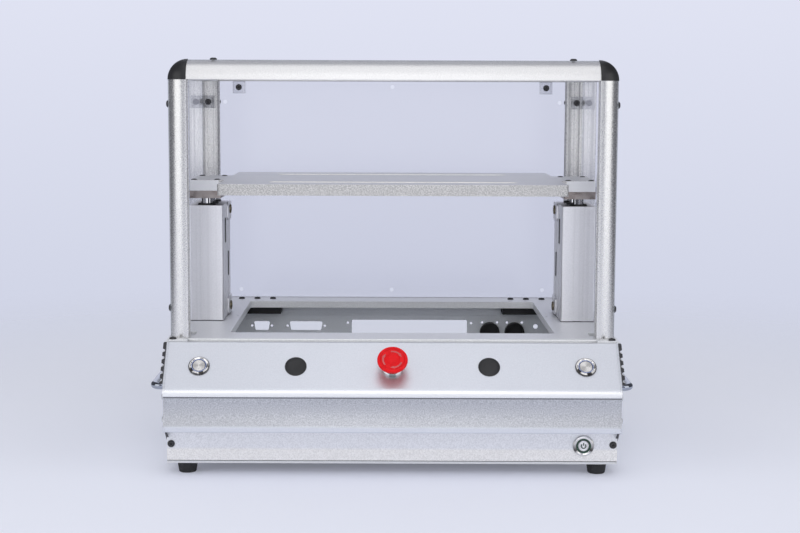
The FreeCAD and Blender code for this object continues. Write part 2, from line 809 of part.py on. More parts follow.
def switch_body(cap):
    """Fixed part of a push switch: bezel, threaded barrel, and the well that the cap slides in."""
    rim, well = bezel_diameter / 2, cap / 2 + cap_clearance
    barrel = switch_hole / 2 - thread_gap
    seat = ring_diameter / 2 + ring_gap
    top = bezel_height
    ring_top = top - bezel_step
    floor = -(cap_height + switch_travel)
    return turned((0, -switch_depth), (barrel, -switch_depth), (barrel, 0), (rim, 0), (rim, top * 0.35),
                  ((rim * 0.95, top * 0.85), (rim * 0.82, top)), (seat + bezel_step, ring_top), (seat, ring_top),
                  (seat, ring_top - ring_height), (well, ring_top - ring_height), (well, floor), (0, floor))


def switch_ring(cap):
    """Light ring in the bezel, round the cap."""
    inner = cap / 2 + cap_clearance
    top = bezel_height - bezel_step
    return turned((inner, top - ring_height), (ring_diameter / 2, top - ring_height), (ring_diameter / 2, top),
                  (inner, top))


def switch_cap(cap):
    """Push cap, flush with the bezel."""
    radius, top = cap / 2, bezel_height - cap_set_down
    return turned((0, top - cap_height), (radius, top - cap_height), (radius, top - cap_edge),
                  (radius - cap_edge, top), (0, top))


def panel_nut(hole, across, height):
    """Nut behind the panel, clear of the barrel's thread."""
    nut = hex_prism(across, height).cut(rod(hole, V(0, 0, 0), UP * height))
    nut.translate(UP * -(panel_wall + height))
    return nut


def hole_plug(hole, flange, skirt):
    """Snap-in plug: low domed flange over a hollow skirt."""
    rim, outer = flange / 2, hole / 2 - thread_gap
    inner = outer - plug_wall
    return turned((0, -plug_wall), (inner, -plug_wall), (inner, -skirt), (outer, -skirt), (outer, 0), (rim, 0),
                  (rim, plug_edge), ((rim * 0.8, plug_dome * 0.86), (rim * 0.4, plug_dome)), (0, plug_dome))


def estop_collar():
    """Bright collar and barrel of the stop button, with the stem's bore through it."""
    rim, barrel = estop_collar_diameter / 2, estop_hole / 2 - thread_gap
    bore = estop_stem_diameter / 2 + estop_stem_clearance
    top = estop_collar_height
    return turned((bore, estop_barrel_end), (barrel, estop_barrel_end), (barrel, 0), (rim, 0), (rim, top * 0.4),
                  ((rim * 0.96, top * 0.8), (rim * 0.87, top)), (bore, top))


def estop_nut():
    return panel_nut(estop_hole, estop_collar_diameter + estop_nut_wall, estop_nut_height)


def estop_contact_block():
    """Switch block clipped to the end of the barrel, with terminal screws' recesses."""
    half, top = estop_block / 2, estop_barrel_end
    low = top - estop_block_depth
    block = rounded(box(-half, half, -half, half, low, top), estop_block_round, upright)
    well_depth = 2 * (estop_stem_end + estop_travel)
    block = block.cut(rod(estop_stem_diameter + 2 * estop_stem_clearance, V(0, 0, top), UP * -well_depth))
    for side in (-1, 1):
        y = side * terminal_slot_pitch / 2
        slot = box(-half, terminal_slot_depth - half, y - terminal_slot / 2, y + terminal_slot / 2,
                   low, low + terminal_slot_length)
        block = block.cut(slot).cut(mirrored(slot))
    return block


def estop_stem():
    """Plunger that slides in the collar and carries the head."""
    bottom = estop_barrel_end - estop_stem_end
    return rod(estop_stem_diameter, V(0, 0, bottom), UP * (estop_face - estop_head_height - bottom))


def estop_head():
    """Mushroom head: flared skirt, raised rim, ring channel and dished centre."""
    rim, top = estop_head_diameter / 2, estop_face
    low = top - estop_head_height
    neck = estop_stem_diameter / 2 + estop_neck_wall
    bend = estop_head_round
    inside = bend * (1 - math.sqrt(0.5))
    tall = estop_head_height
    step = estop_dish_depth
    centre = estop_dish_radius
    rim_inner = rim - estop_rim_width
    return turned((0, low), (neck, low), ((rim * 0.72, low + tall * 0.17), (rim * 0.95, low + tall * 0.5)),
                  (rim, low + tall * 0.65), (rim, top - bend), ((rim - inside, top - inside), (rim - bend, top)),
                  (rim_inner, top), (rim_inner - step * 0.7, top - step * 0.7), (centre + step * 0.5, top - step),
                  (centre, top - step * 0.8), dish(centre, top - step * 0.8, step))


def on_slope(shape, x):
    return aimed(shape, control(x), slope_out)


def at_estop(shape):
    return aimed(shape, estop_point, slope_out)


def on_lower_panel(shape):
    return aimed(shape, power_point, FRONT)


# Columns

def right_cylinder_body():
    """Extruded body: piston bore, guide bores, bush seats, sensor slots and ports."""
    front, back = press_y - column_depth / 2, press_y + column_depth / 2
    outer = column_x + column_width / 2
    bottom = column_bottom
    body = rounded(box(column_inner, outer, front, back, bottom, column_top), column_round, upright)
    strip = (column_x - strip_width / 2, column_x + strip_width / 2)
    body = body.cut(box(*strip, front, front + strip_depth, bottom, column_top))
    body = body.cut(box(*strip, back - strip_depth, back, bottom, column_top))
    for side in (-1, 1):
        y = press_y + side * sensor_slot_pitch / 2
        body = body.cut(box(column_inner, column_inner + sensor_slot_depth, y - sensor_slot / 2,
                            y + sensor_slot / 2, bottom, column_top))
    for y in rod_ys:
        bore = piston_bore if y == press_y else guide_bore
        body = body.cut(rod(bore, V(column_x, y, bottom), UP * (bush_bottom - bottom)))
        body = body.cut(rod(2 * (bush_bore + bush_wall), V(column_x, y, bush_bottom), UP * bush_length))
    pad_back = back - column_round
    pad_front = pad_back - port_pad_depth
    pads = []
    for low in (bottom, column_top - port_pad_height):
        pad = box(column_inner - port_pad, column_inner, pad_front, pad_back, low, low + port_pad_height)
        pads.append(rounded(pad, port_pad_round,
                            lambda middle, along: abs(along.x) > 0.999 and near(middle.y, pad_front)))
    body = fused(body, *pads)
    for place in port_places():
        body = body.cut(rod(port_diameter, place, RIGHT * (port_pad + port_depth)))
    return body


def port_places():
    y = press_y + column_depth / 2 - port_inset
    face = column_inner - port_pad
    return [V(face, y, column_bottom + port_rise), V(face, y, column_top - port_rise)]


def port_plugs():
    """Shipping plugs in the air ports, with a hexagon recess."""
    rim, top = port_diameter / 2 - port_plug_fit, port_plug_proud
    bottom = port_plug_bevel - port_depth
    plug = turned((0, bottom), (rim, bottom), (rim, top - port_plug_bevel), (rim - port_plug_bevel, top),
                  (0, top))
    plug = plug.cut(hex_prism(port_plug_socket, top))
    right = [aimed(plug, place, RIGHT * -1) for place in port_places()]
    return right + [mirrored(shape) for shape in right]


def cylinder_caps():
    """Gasket plate under each body with the plug that closes the piston bore."""
    half_x, half_y = column_width / 2 - gasket_inset, column_depth / 2 - gasket_inset
    plate = box(column_x - half_x, column_x + half_x, press_y - half_y, press_y + half_y, deck_top, column_bottom)
    plate = rounded(plate, column_round, upright)
    plug = rod(piston_bore - 2 * cap_plug_fit, V(column_x, press_y, deck_top), UP * cap_plug)
    cap = fused(plate, plug)
    return [cap, mirrored(cap)]


def rod_bushes():
    """Flanged bushes that guide the rods at the top of each column."""
    outer = bush_bore + bush_wall
    seat = outer - bush_fit
    flange = outer + bush_lip_reach
    lip_end = bush_length + bush_lip
    bush = turned((bush_bore, 0), (seat, 0), (seat, bush_length), (flange, bush_length),
                  (flange - bush_lip_reach / 2, lip_end), (bush_bore, lip_end))
    right = [aimed(bush, V(column_x, y, bush_bottom), UP) for y in rod_ys]
    return right + [mirrored(shape) for shape in right]


def reed_sensors():
    """Position sensors lying in the columns' slots."""
    face = column_inner - sensor_proud
    half = sensor_slot / 2 - sensor_gap
    shapes = []
    for side, drop in ((-1, front_sensor_drop), (1, rear_sensor_drop)):
        y, top = press_y + side * sensor_slot_pitch / 2, column_top - drop
        body = box(face, column_inner + sensor_slot_depth - sensor_gap, y - half, y + half,
                   top - sensor_length, top)
        shapes.append(rounded(body, sensor_round, lambda middle, along: near(middle.x, face)))
    return shapes + [mirrored(shape) for shape in shapes]


def right_piston_rod():
    """Rod with its piston, bottomed on the cap."""
    low = deck_top + cap_plug + piston_gap
    high = low + piston_height
    rim = piston_bore / 2 - piston_fit
    seal = rim - piston_groove_depth
    groove_low, groove_high = (low + high - piston_groove) / 2, (low + high + piston_groove) / 2
    shape = turned((0, low), (rim, low), (rim, groove_low), (seal, groove_low), (seal, groove_high),
                   (rim, groove_high), (rim, high), (rod_radius, high), (rod_radius, end_plate_bottom),
                   (0, end_plate_bottom))
    return aimed(shape, V(column_x, press_y, 0), UP)


def guide_rods():
    low = deck_top + cap_plug
    along = UP * (end_plate_bottom - low)
    right = [rod(rod_diameter, V(column_x, y, low), along) for y in (rod_ys[0], rod_ys[2])]
    return right + [mirrored(shape) for shape in right]


def right_end_plate():
    half_x, half_y = end_plate_width / 2, end_plate_depth / 2
    plate = box(column_x - half_x, column_x + half_x, press_y - half_y, press_y + half_y,
                end_plate_bottom, press_bottom)
    return drilled(rounded(plate, end_plate_round, upright), press_sites, depth=press_thickness + shank_length)


def press_plate():
    """Plate with an ear over each column and two long slots for pushers."""
    half_y = press_depth / 2
    main = box(-press_half, press_half, press_y - half_y, press_y + half_y, press_bottom, press_top)
    ear_half = column_x + ear_reach
    ears = box(-ear_half, ear_half, press_y - ear_depth / 2, press_y + ear_depth / 2, press_bottom, press_top)
    shape = fused(rounded(main, press_round, upright), rounded(ears, press_round, upright))
    shape = rounded(shape, ear_round,
                    lambda middle, along: upright(middle, along) and near(abs(middle.x), press_half)
                    and near(abs(middle.y - press_y), ear_depth / 2))
    slot_half, slot_end = press_half - press_slot_end, press_slot_width / 2
    for y in (press_y - half_y + press_slot_margin, press_y + half_y - press_slot_margin):
        middle = box(slot_end - slot_half, slot_half - slot_end, y - slot_end, y + slot_end,
                     press_bottom, press_top)
        ends = [rod(press_slot_width, V(x, y, press_bottom), UP * press_thickness)
                for x in (slot_end - slot_half, slot_half - slot_end)]
        shape = shape.cut(fused(middle, *ends))
    shape = rounded(shape, slot_edge_round,
                    lambda middle, along: near(middle.z, press_top) and abs(middle.x) < slot_half
                    and abs(abs(middle.y - press_y) - half_y + press_slot_margin) < press_slot_width)
    for place, direction in press_sites:
        shape = shape.cut(rod(head_diameter + 2 * press_sink_gap, place, direction * press_sink))
    return drilled(shape, press_sites, depth=press_thickness)


# Hood

def profile_section(side_lap, other_lap):
    """Quarter-round section about its inner corner, grooved, with a rebate for each window it carries.

    Local axes: +X and +Y point outwards. side_lap cuts the rebate on the +X side, other_lap on +Y.
    """
    r, bevel, deep = profile_radius, profile_bevel, groove_depth
    near_edge, far_edge = groove_inset, groove_inset + groove_width
    middle = r * math.sqrt(0.5)
    face = outline(
        V(bevel, 0, 0), V(near_edge, 0, 0), V(near_edge, deep, 0), V(far_edge, deep, 0), V(far_edge, 0, 0),
        V(r, 0, 0), (V(middle, middle, 0), V(0, r, 0)),
        V(0, far_edge, 0), V(deep, far_edge, 0), V(deep, near_edge, 0), V(0, near_edge, 0), V(0, bevel, 0))
    cuts = []
    if side_lap:
        cuts.append(box(window_seat, r + 1, -1, window_lap + window_gap, -1, 1))
    if other_lap:
        cuts.append(box(-1, window_lap + window_gap, window_seat, r + 1, -1, 1))
    for shape in cuts:
        face = face.cut(shape)
    core = rod(2 * profile_core, V(r * core_share, r * core_share, -1), UP * 2)
    return face.cut(core).Faces[0]


def profile_bar(side_lap, other_lap, corner, outward, across, length_vector):
    """Profile set with its inner corner at a point and its two outward axes given, then extruded."""
    face = profile_section(side_lap, other_lap)
    face.Placement = FreeCAD.Placement(corner, FreeCAD.Rotation(outward, across, outward.cross(across)))
    return face.extrude(length_vector)


def right_post(front):
    corner = V(post_x, post_front_y if front else post_rear_y, deck_top)
    across = FRONT if front else BACK
    bar = profile_bar(True, not front, corner, RIGHT, across, UP * (rail_z - deck_top))
    return drilled(bar, hood_side_sites + hood_rear_sites)


def cross_rail(front):
    corner = V(-post_x, post_front_y if front else post_rear_y, rail_z)
    across = FRONT if front else BACK
    bar = profile_bar(True, not front, corner, UP, across, RIGHT * (2 * post_x))
    return drilled(bar, hood_top_sites)


def right_rail():
    corner = V(post_x, post_front_y, rail_z)
    return profile_bar(True, True, corner, UP, RIGHT, BACK * (post_rear_y - post_front_y))


def corner_caps():
    """Ball corners that join a post and two rails."""
    caps = []
    for sx, y, turn in ((1, post_rear_y, 0), (-1, post_rear_y, 90), (-1, post_front_y, 180),
                        (1, post_front_y, 270)):
        octant = Part.makeSphere(profile_radius + cap_proud, V(0, 0, 0), UP, 0, 90, 90)
        octant.rotate(V(0, 0, 0), UP, turn)
        octant.translate(V(sx * post_x, y, rail_z))
        caps.append(octant)
    return caps


def notched_sheet(width, height, notch_low):
    """Window blank in local X and Y, centred in X, from y = 0: upper corners cut, lower ones optional."""
    lap = window_lap
    half = width / 2
    low = lap if notch_low else 0
    points = [V(-half, low, 0), V(-half, height - lap, 0), V(-half + lap, height - lap, 0),
              V(-half + lap, height, 0), V(half - lap, height, 0), V(half - lap, height - lap, 0),
              V(half, height - lap, 0), V(half, low, 0)]
    if notch_low:
        points += [V(half - lap, low, 0), V(half - lap, 0, 0), V(-half + lap, 0, 0), V(-half + lap, low, 0)]
    return outline(points[0], *points[1:]).extrude(UP * window_wall)


def right_window():
    depth = post_rear_y - post_front_y + 2 * window_lap
    sheet = notched_sheet(depth, rail_z + window_lap - deck_top, False)
    sheet.Placement = FreeCAD.Placement(V(post_x + window_seat, (post_front_y + post_rear_y) / 2, deck_top),
                                        FreeCAD.Rotation(BACK, UP, RIGHT))
    return drilled(sheet, hood_side_sites)


def rear_window():
    sheet = notched_sheet(2 * (post_x + window_lap), rail_z + window_lap - deck_top, False)
    sheet.Placement = FreeCAD.Placement(V(0, post_rear_y + profile_radius, deck_top),
                                        FreeCAD.Rotation(RIGHT, UP, FRONT))
    low = deck_top + rear_hole_rise
    spots = [(0, hood_top - rear_hole_drop), (0, low)]
    for side in (-1, 1):
        spots += [(side * (post_x - rear_hole_inset), high_screw_z), (side * block_x, low)]
    for x, z in spots:
        sheet = sheet.cut(rod(rear_hole_diameter, V(x, post_rear_y, z), BACK * profile_radius))
    return drilled(sheet, hood_rear_sites)


def top_window():
    sheet = notched_sheet(2 * (post_x + window_lap), post_rear_y - post_front_y + 2 * window_lap, True)
    sheet.translate(V(0, post_front_y - window_lap, rail_z + window_seat))
    return drilled(sheet, hood_top_sites)


def window_blocks():
    """Clear corner blocks that tie the windows together."""
    half = block_size / 2
    window_inner = post_rear_y + window_seat
    top_block = box(block_x - half, block_x + half, window_inner - block_size, window_inner,
                    rail_z - block_size, rail_z)
    side_inner = post_x + window_seat
    side_block = box(side_inner - block_size, side_inner, post_rear_y - block_size, post_rear_y,
                     high_screw_z - half, high_screw_z + half)
    blocks = [drilled(block, block_sites) for block in (top_block, side_block)]
    return blocks + [mirrored(block) for block in blocks]


# Inside the base

def inlet(hole, flange, reach, socket, socket_length):
    """Panel inlet built along +Z from the panel's outer face, with a nut behind the panel."""
    barrel, rim, bore = hole / 2 - inlet_fit, flange / 2, socket / 2
    nut, nut_low = barrel + inlet_nut_wall, -(panel_wall + inlet_nut)
    low = -(panel_wall + inlet_barrel)
    return turned((0, low), (barrel, low), (barrel, nut_low), (nut, nut_low), (nut, -panel_wall),
                  (barrel, -panel_wall), (barrel, 0), (rim, 0), (rim, reach * 0.35),
                  (rim - inlet_step, reach * 0.5), (rim - inlet_step, reach), (bore, reach),
                  (bore, reach - socket_length), (0, reach - socket_length))


def solenoid_valve():
    """Five-port valve with its coil, on the floor beside the opening."""
    x, y, z = -(inner_half + opening_half) / 2, press_y - valve_shift, floor_top
    half_x, half_y = valve_width / 2, valve_length / 2
    body = rounded(box(x - half_x, x + half_x, y - half_y, y + half_y, z, z + valve_height), valve_round, upright)
    coil = box(x - coil_width / 2, x + coil_width / 2, y + half_y, y + half_y + coil_length,
               z + coil_rise, z + coil_rise + valve_height)
    ports = [rod(valve_port, V(x, y + side * valve_port_pitch / 2, z + valve_height), UP * valve_port)
             for side in (-1, 1)]
    return fused(body, rounded(coil, coil_round, upright), *ports)


def control_board():
    """Two-hand control board on stand-offs, beside the opening."""
    x, y, z = (inner_half + opening_half) / 2, press_y - board_shift, floor_top
    half_x, half_y = board_width / 2, board_length / 2
    low = z + board_rise
    face = low + board_wall
    board = box(x - half_x, x + half_x, y - half_y, y + half_y, low, face)
    legs = [rod(board_leg, V(x + side * (half_x - board_leg_inset), y + end * (half_y - board_leg_inset), z),
                UP * board_rise) for side in (-1, 1) for end in (-1, 1)]
    relays = []
    for step in (-1, 0, 1):
        middle = y - relay_shift + step * relay_pitch
        relays.append(box(x - relay_width, x, middle - relay_length / 2, middle + relay_length / 2,
                          face, face + relay_height))
    edge = x + half_x - terminal_inset
    terminals = box(edge - terminal_width, edge, y - terminal_length / 2, y + terminal_length / 2,
                    face, face + terminal_height)
    return fused(board, terminals, *legs, *relays)


def write(name, *shapes):
    shape = shapes[0] if len(shapes) == 1 else Part.makeCompound(list(shapes))
    shape.exportStep("parts/" + name + ".step")


def write_pair(name, right_shape):
    write("right_" + name, right_shape)
    write("left_" + name, mirrored(right_shape))


def write_base():
    write("front_profile", front_profile())
    write("lower_front_panel", lower_front_panel())
    write_pair("side_panel", right_side_panel())
    write("bottom_plate", bottom_plate())
    write("rear_panel", rear_panel())
    write("deck_plate", deck_plate())
    write("deck_brackets", *deck_brackets())
    write("rubber_feet", *rubber_feet())
    write_pair("handle", right_handle())
    write("base_screws", *screws(deck_sites + lower_sites + side_sites + rear_sites + foot_sites))
    write("solenoid_valve", solenoid_valve())
    write("control_board", control_board())
    air = inlet(air_inlet_hole, air_inlet_flange, fitting_reach, air_tube, air_tube_depth)
    write("air_inlet", aimed(air, V(air_inlet_x, rear_y, inlet_height), BACK))
    power = inlet(power_inlet_hole, power_inlet_flange, power_inlet_reach, power_socket, power_socket_depth)
    write("power_inlet", aimed(power, V(power_inlet_x, rear_y, inlet_height), BACK))
    rear_plug = hole_plug(blank_hole, blank_flange, blank_skirt)
    write("rear_hole_plugs", *[aimed(rear_plug, V(x, rear_y, blank_height), BACK) for x in blank_xs])


def write_controls():
    plug = hole_plug(switch_hole, plug_flange, plug_skirt)
    write("hole_plugs", on_slope(plug, -plug_x), on_slope(plug, plug_x))
    nut = panel_nut(switch_hole, switch_nut, switch_nut_height)
    write("switch_nuts", on_slope(nut, -start_x), on_slope(nut, start_x), on_lower_panel(nut),
          at_estop(estop_nut()))
    for name, x in (("left_start", -start_x), ("right_start", start_x)):
        write(name + "_body", on_slope(switch_body(cap_diameter), x))
        write(name + "_ring", on_slope(switch_ring(cap_diameter), x))
        write(name + "_cap", on_slope(switch_cap(cap_diameter), x))
    write("power_switch_body", on_lower_panel(switch_body(power_cap_diameter)))
    write("power_switch_ring", on_lower_panel(switch_ring(power_cap_diameter)))
    write("power_switch_cap", on_lower_panel(switch_cap(power_cap_diameter)))
    write("estop_collar", at_estop(estop_collar()))
    write("estop_contact_block", at_estop(estop_contact_block()))
    write("estop_stem", at_estop(estop_stem()))
    write("estop_head", at_estop(estop_head()))


def write_press():
    write_pair("cylinder_body", right_cylinder_body())
    write("cylinder_caps", *cylinder_caps())
    write("rod_bushes", *rod_bushes())
    write("port_plugs", *port_plugs())
    write("reed_sensors", *reed_sensors())
    write_pair("piston_rod", right_piston_rod())
    write("guide_rods", *guide_rods())
    write_pair("end_plate", right_end_plate())
    write("press_plate", press_plate())
    write("press_screws", *screws(press_sites))


def write_hood():
    write_pair("front_post", right_post(True))
    write_pair("rear_post", right_post(False))
    write("front_rail", cross_rail(True))
    write("rear_rail", cross_rail(False))
    write_pair("top_rail", right_rail())
    write("corner_caps", *corner_caps())
    write_pair("window", right_window())
    write("rear_window", rear_window())
    write("top_window", top_window())
    write("window_blocks", *window_blocks())
    write("hood_screws", *screws(hood_side_sites + hood_rear_sites + hood_top_sites + block_sites))


os.makedirs("parts", exist_ok=True)
write_base()
write_controls()
write_press()
write_hood()
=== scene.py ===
"""Looks of the board-test press: finishes, small added details, camera and soft studio light."""

import math

import bmesh
import bpy
from mathutils import Matrix, Vector


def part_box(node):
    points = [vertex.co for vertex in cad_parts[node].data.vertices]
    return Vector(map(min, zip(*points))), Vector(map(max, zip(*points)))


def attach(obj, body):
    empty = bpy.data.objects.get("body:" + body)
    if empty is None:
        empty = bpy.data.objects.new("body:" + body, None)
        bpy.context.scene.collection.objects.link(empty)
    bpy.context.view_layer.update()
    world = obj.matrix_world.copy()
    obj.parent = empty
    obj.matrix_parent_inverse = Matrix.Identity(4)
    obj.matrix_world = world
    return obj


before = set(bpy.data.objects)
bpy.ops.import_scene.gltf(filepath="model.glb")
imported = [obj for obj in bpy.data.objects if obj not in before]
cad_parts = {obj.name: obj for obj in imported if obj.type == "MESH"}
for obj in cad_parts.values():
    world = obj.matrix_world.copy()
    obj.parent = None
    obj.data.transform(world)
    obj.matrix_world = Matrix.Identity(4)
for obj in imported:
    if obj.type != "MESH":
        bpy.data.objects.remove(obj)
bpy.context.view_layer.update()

MM = 0.001

# Directions
ACROSS = Vector((1.0, 0.0, 0.0))
FRONT_OUT = Vector((0.0, -1.0, 0.0))
UPWARD = Vector((0.0, 0.0, 1.0))
SLOPE_OUT = Vector((0.0, -0.7314, 0.6820)).normalized()
SLOPE_UP = Vector((0.0, 0.6820, 0.7314)).normalized()

# Zones of the part, in millimetres
NOSE_HEIGHTS = (57.0, 87.4, 95.5)     # lip, lower edge and upper edge of the nose above the floor
SIDE_FACE = 236.0                     # just outside the side plates, from the middle
WEDGE_HEIGHTS = (38.0, 50.0)          # slanted ends of the side plates below the lip, darkened with painted shade
WARM_REFLECTION_HEIGHT = 27.5                    # top of the painted warm reflection on the lower panel, above the floor
SLOT_FIELD = (300.0, 190.0, 40.0)     # block round the press plate's two slots
EAR_START = 194.0                     # press plate's ears from the middle
WINDOW_BORDER = 5.0                   # strip along the rear window's edges, without holes

# Signs added to the controls, in millimetres and degrees
SIGN_RADII = (1.8, 3.0)               # inner and outer edge of the power sign's ring
SIGN_SWEEP = (132.0, 408.0)           # angles between which the ring runs
SIGN_BAR = (0.6, 0.5, 3.5)            # half the width, foot and top of the sign's bar
SIGN_HEIGHT = 0.08
ARROW_COUNT = 3
ARROW_RADII = (9.0, 10.6)             # inner and outer edge of the stop arrows
ARROW_START = 100.0                   # angle at which the first arrow begins
ARROW_SWEEP = 84.0
ARROW_HEAD = 26.0                     # part of the sweep that the head takes
ARROW_HEIGHT = 0.3
ARROW_LIFT = 8.35                     # above the stem's end

# Camera, fitted to the photo, in metres and degrees
CAMERA_PLACE = (-0.0057, -1.76403, 0.4006)
CAMERA_TILT = 83.53
CAMERA_ROLL = 0.2
FOCAL_LENGTH = 70.02                  # millimetres
SENSOR_WIDTH = 36.0                   # millimetres
LENS_SHIFT = 0.0159
NEAREST = 0.05

# Floor, in metres
FLOOR_REACH = 4.0
FLOOR_GLOW = 0.14
FLOOR_FADE = (0.45, 1.5)              # distances between which it fades into the backdrop
CORNER_SIDE = (0.7, 1.2)              # distances aside between which reflections lose its rear corners
CORNER_DEPTH = (0.0, 0.6)             # the same toward the back

# Soft boxes: azimuth from the front and elevation in degrees, distance, width and height in metres, and
# brightness
SOFT_BOXES = {
    "left_box": (-60.0, 16.0, 2.4, 1.8, 1.7, 1.20),
    "right_box": (60.0, 16.0, 2.4, 1.8, 1.7, 1.20),
    "front_box": (0.0, 20.0, 2.4, 1.3, 2.1, 1.15),
    "top_box": (0.0, 68.0, 2.0, 1.6, 1.7, 0.80),
}
LIGHT_AIM = Vector((0.0, 0.0, 0.22))

# Surroundings. Ranges are parts of the direction along one axis.
BACKDROP_LOW = (0.60, 0.63, 0.76, 1.0)
BACKDROP_HIGH = (0.77, 0.79, 0.915, 1.0)
BACKDROP_RISE = (-0.20, 0.10)         # from the low colour to the high one
AMBIENT_COLOUR = (0.94, 0.96, 1.0, 1.0)
AMBIENT_LEVEL = 0.52
MIRRORED_LEVEL = 0.40                 # level in reflections, without the backdrop
MIRRORED_BACKDROP = 0.6               # what the backdrop adds to it
MIRRORED_OVERHEAD = 0.2               # share of that which is left overhead
MIRRORED_ASIDE = 0.15                 # share of the whole that is left to the sides
TOWARD_BACK = (-0.1, 0.4)
OVERHEAD = (0.4, 0.8)
FAR_ASIDE = (0.45, 0.80)
NARROWING = 2.0                       # how much sooner the sides dim toward the back


# Building blocks for the finishes

class Nodes:
    """A node tree under construction."""

    def __init__(self, tree):
        self.tree = tree
        tree.nodes.clear()

    def add(self, kind, inputs=None, **settings):
        node = self.tree.nodes.new(kind)
        for key, value in settings.items():
            setattr(node, key, value)
        for key, value in (inputs or {}).items():
            self.put(node.inputs[key], value)
        return node

    def put(self, socket, value):
        """Links a socket to an output, or gives it a plain value."""
        if isinstance(value, bpy.types.NodeSocket):
            self.tree.links.new(value, socket)
        else:
            socket.default_value = value

    def math(self, operation, first, second=0.0):
        node = self.add("ShaderNodeMath", {0: first, 1: second}, operation=operation)
        return node.outputs[0]

    def times(self, first, second):
        return self.math("MULTIPLY", first, second)

    def plus(self, first, second):
        return self.math("ADD", first, second)

    def minus(self, first, second):
        return self.math("SUBTRACT", first, second)

    def span(self, value, low, high, start=0.3, stop=0.7):
        """The value carried from the range start to stop over to the range low to high."""
        node = self.add("ShaderNodeMapRange", {"Value": value, "From Min": start, "From Max": stop,
                                               "To Min": low, "To Max": high})
        return node.outputs["Result"]

    def mix(self, share, first, second):
        """Two shaders mixed by share."""
        return self.add("ShaderNodeMixShader", {0: share, 1: first, 2: second}).outputs[0]

    def seen_directly(self, path):
        """1 for camera rays and for what metal and glass show."""
        seen = self.math("MAXIMUM", path.outputs["Is Camera Ray"], path.outputs["Is Glossy Ray"])
        return self.math("MAXIMUM", seen, path.outputs["Is Transmission Ray"])


class Finish(Nodes):
    """A material under construction. Sizes are in millimetres on the real object."""

    def __init__(self, name):
        self.material = bpy.data.materials.new(name)
        self.material.use_nodes = True
        super().__init__(self.material.node_tree)
        self.output = self.add("ShaderNodeOutputMaterial")
        self.shader = self.add("ShaderNodeBsdfPrincipled")
        self.show(self.shader.outputs[0])
        coordinates = self.add("ShaderNodeTexCoord")
        self.place = coordinates.outputs["Object"]
        self.facing = coordinates.outputs["Normal"]

    def show(self, shader):
        """Makes a shader the surface."""
        self.put(self.output.inputs["Surface"], shader)

    def set(self, **inputs):
        """Values or links for the shader, by input name with underscores for blanks."""
        for key, value in inputs.items():
            self.put(self.shader.inputs[key.replace("_", " ")], value)

    def dot(self, vector, axis):
        node = self.add("ShaderNodeVectorMath", {0: vector, 1: axis}, operation="DOT_PRODUCT")
        return node.outputs["Value"]

    def offset(self, centre):
        """Place seen from a centre."""
        return self.add("ShaderNodeVectorMath", {0: self.place, 1: centre}, operation="SUBTRACT").outputs[0]

    def noise(self, grain, detail=2.0, stretch=(1.0, 1.0, 1.0)):
        """Noise with features about one grain across, drawn out along an axis whose stretch is under 1."""
        scaled = self.add("ShaderNodeVectorMath", {0: self.place, 1: stretch}, operation="MULTIPLY")
        node = self.add("ShaderNodeTexNoise", {"Vector": scaled.outputs[0], "Scale": 1.0 / (grain * MM),
                                               "Detail": detail})
        return node.outputs["Fac"]

    def tint(self, share, first, second):
        """A colour between two, by share."""
        node = self.add("ShaderNodeMix", data_type="RGBA")
        self.put(node.inputs["Factor"], share)
        for socket, colour in ((node.inputs[6], first), (node.inputs[7], second)):
            self.put(socket, colour if isinstance(colour, bpy.types.NodeSocket) else (*colour, 1.0))
        return node.outputs[2]

    def mottle(self, noise, dark, light):
        """Two shades mixed by a noise."""
        return self.tint(self.span(noise, 0.0, 1.0), dark, light)

    def soft_edges(self, radius):
        """Surface normal with edges rounded off by a radius."""
        return self.add("ShaderNodeBevel", {"Radius": radius * MM}, samples=4).outputs["Normal"]

    # Edge mask: used for wear, and for painted highlights and shade on some finishes.
    def edge_share(self, radius):
        """Share from 0 on flat faces to 1 on edges."""
        flat = self.add("ShaderNodeNewGeometry").outputs["Normal"]
        bend = self.dot(self.soft_edges(radius), flat)
        return self.span(bend, 1.0, 0.0, 0.72, 0.98)

    def corners(self, reach):
        """1 in the open, falling to 0 in corners and grooves narrower than the reach."""
        return self.add("ShaderNodeAmbientOcclusion", {"Distance": reach * MM}, samples=6).outputs["AO"]

    def bump(self, height, depth, normal=None):
        inputs = {"Height": height, "Distance": depth * MM, "Strength": 1.0}
        if normal is not None:
            inputs["Normal"] = normal
        return self.add("ShaderNodeBump", inputs).outputs["Normal"]

    def within(self, low, high):
        """1 inside a box, 0 outside it."""
        middle = (low + high) / 2.0
        reach = (high - low) / 2.0
        parts = self.add("ShaderNodeSeparateXYZ", {0: self.offset(middle)})
        inside = 1.0
        for place, size in zip(parts.outputs, reach):
            near = self.math("LESS_THAN", self.math("ABSOLUTE", place), size)
            inside = self.times(inside, near)
        return inside

    def aside(self):
        """Distance from the object's middle to either side, in metres."""
        return self.math("ABSOLUTE", self.dot(self.place, ACROSS))

    def height(self, low, high):
        """0 below one height and 1 above another, both in millimetres."""
        return self.span(self.dot(self.place, UPWARD), 0.0, 1.0, low * MM, high * MM)

    def band(self, foot, top):
        """1 between a foot and a top, each given as the two heights between which it fades."""
        return self.minus(self.height(*foot), self.height(*top))

    def around(self, centre, axis):
        """Radius in millimetres and angle in radians about an axis square to x, from the right and upward."""
        offset = self.offset(centre)
        u = self.dot(offset, ACROSS)
        v = self.dot(offset, axis.cross(ACROSS))
        reach = self.math("SQRT", self.plus(self.times(u, u), self.times(v, v)))
        return self.times(reach, 1.0 / MM), self.math("ARCTAN2", v, u)


def dress(names, finish):
    """Gives CAD nodes a finish."""
    for name in names:
        mesh_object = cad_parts[name]
        if not mesh_object.material_slots:
            mesh_object.data.materials.append(finish.material)
        for place in mesh_object.material_slots:
            place.material = finish.material


# Metal finishes

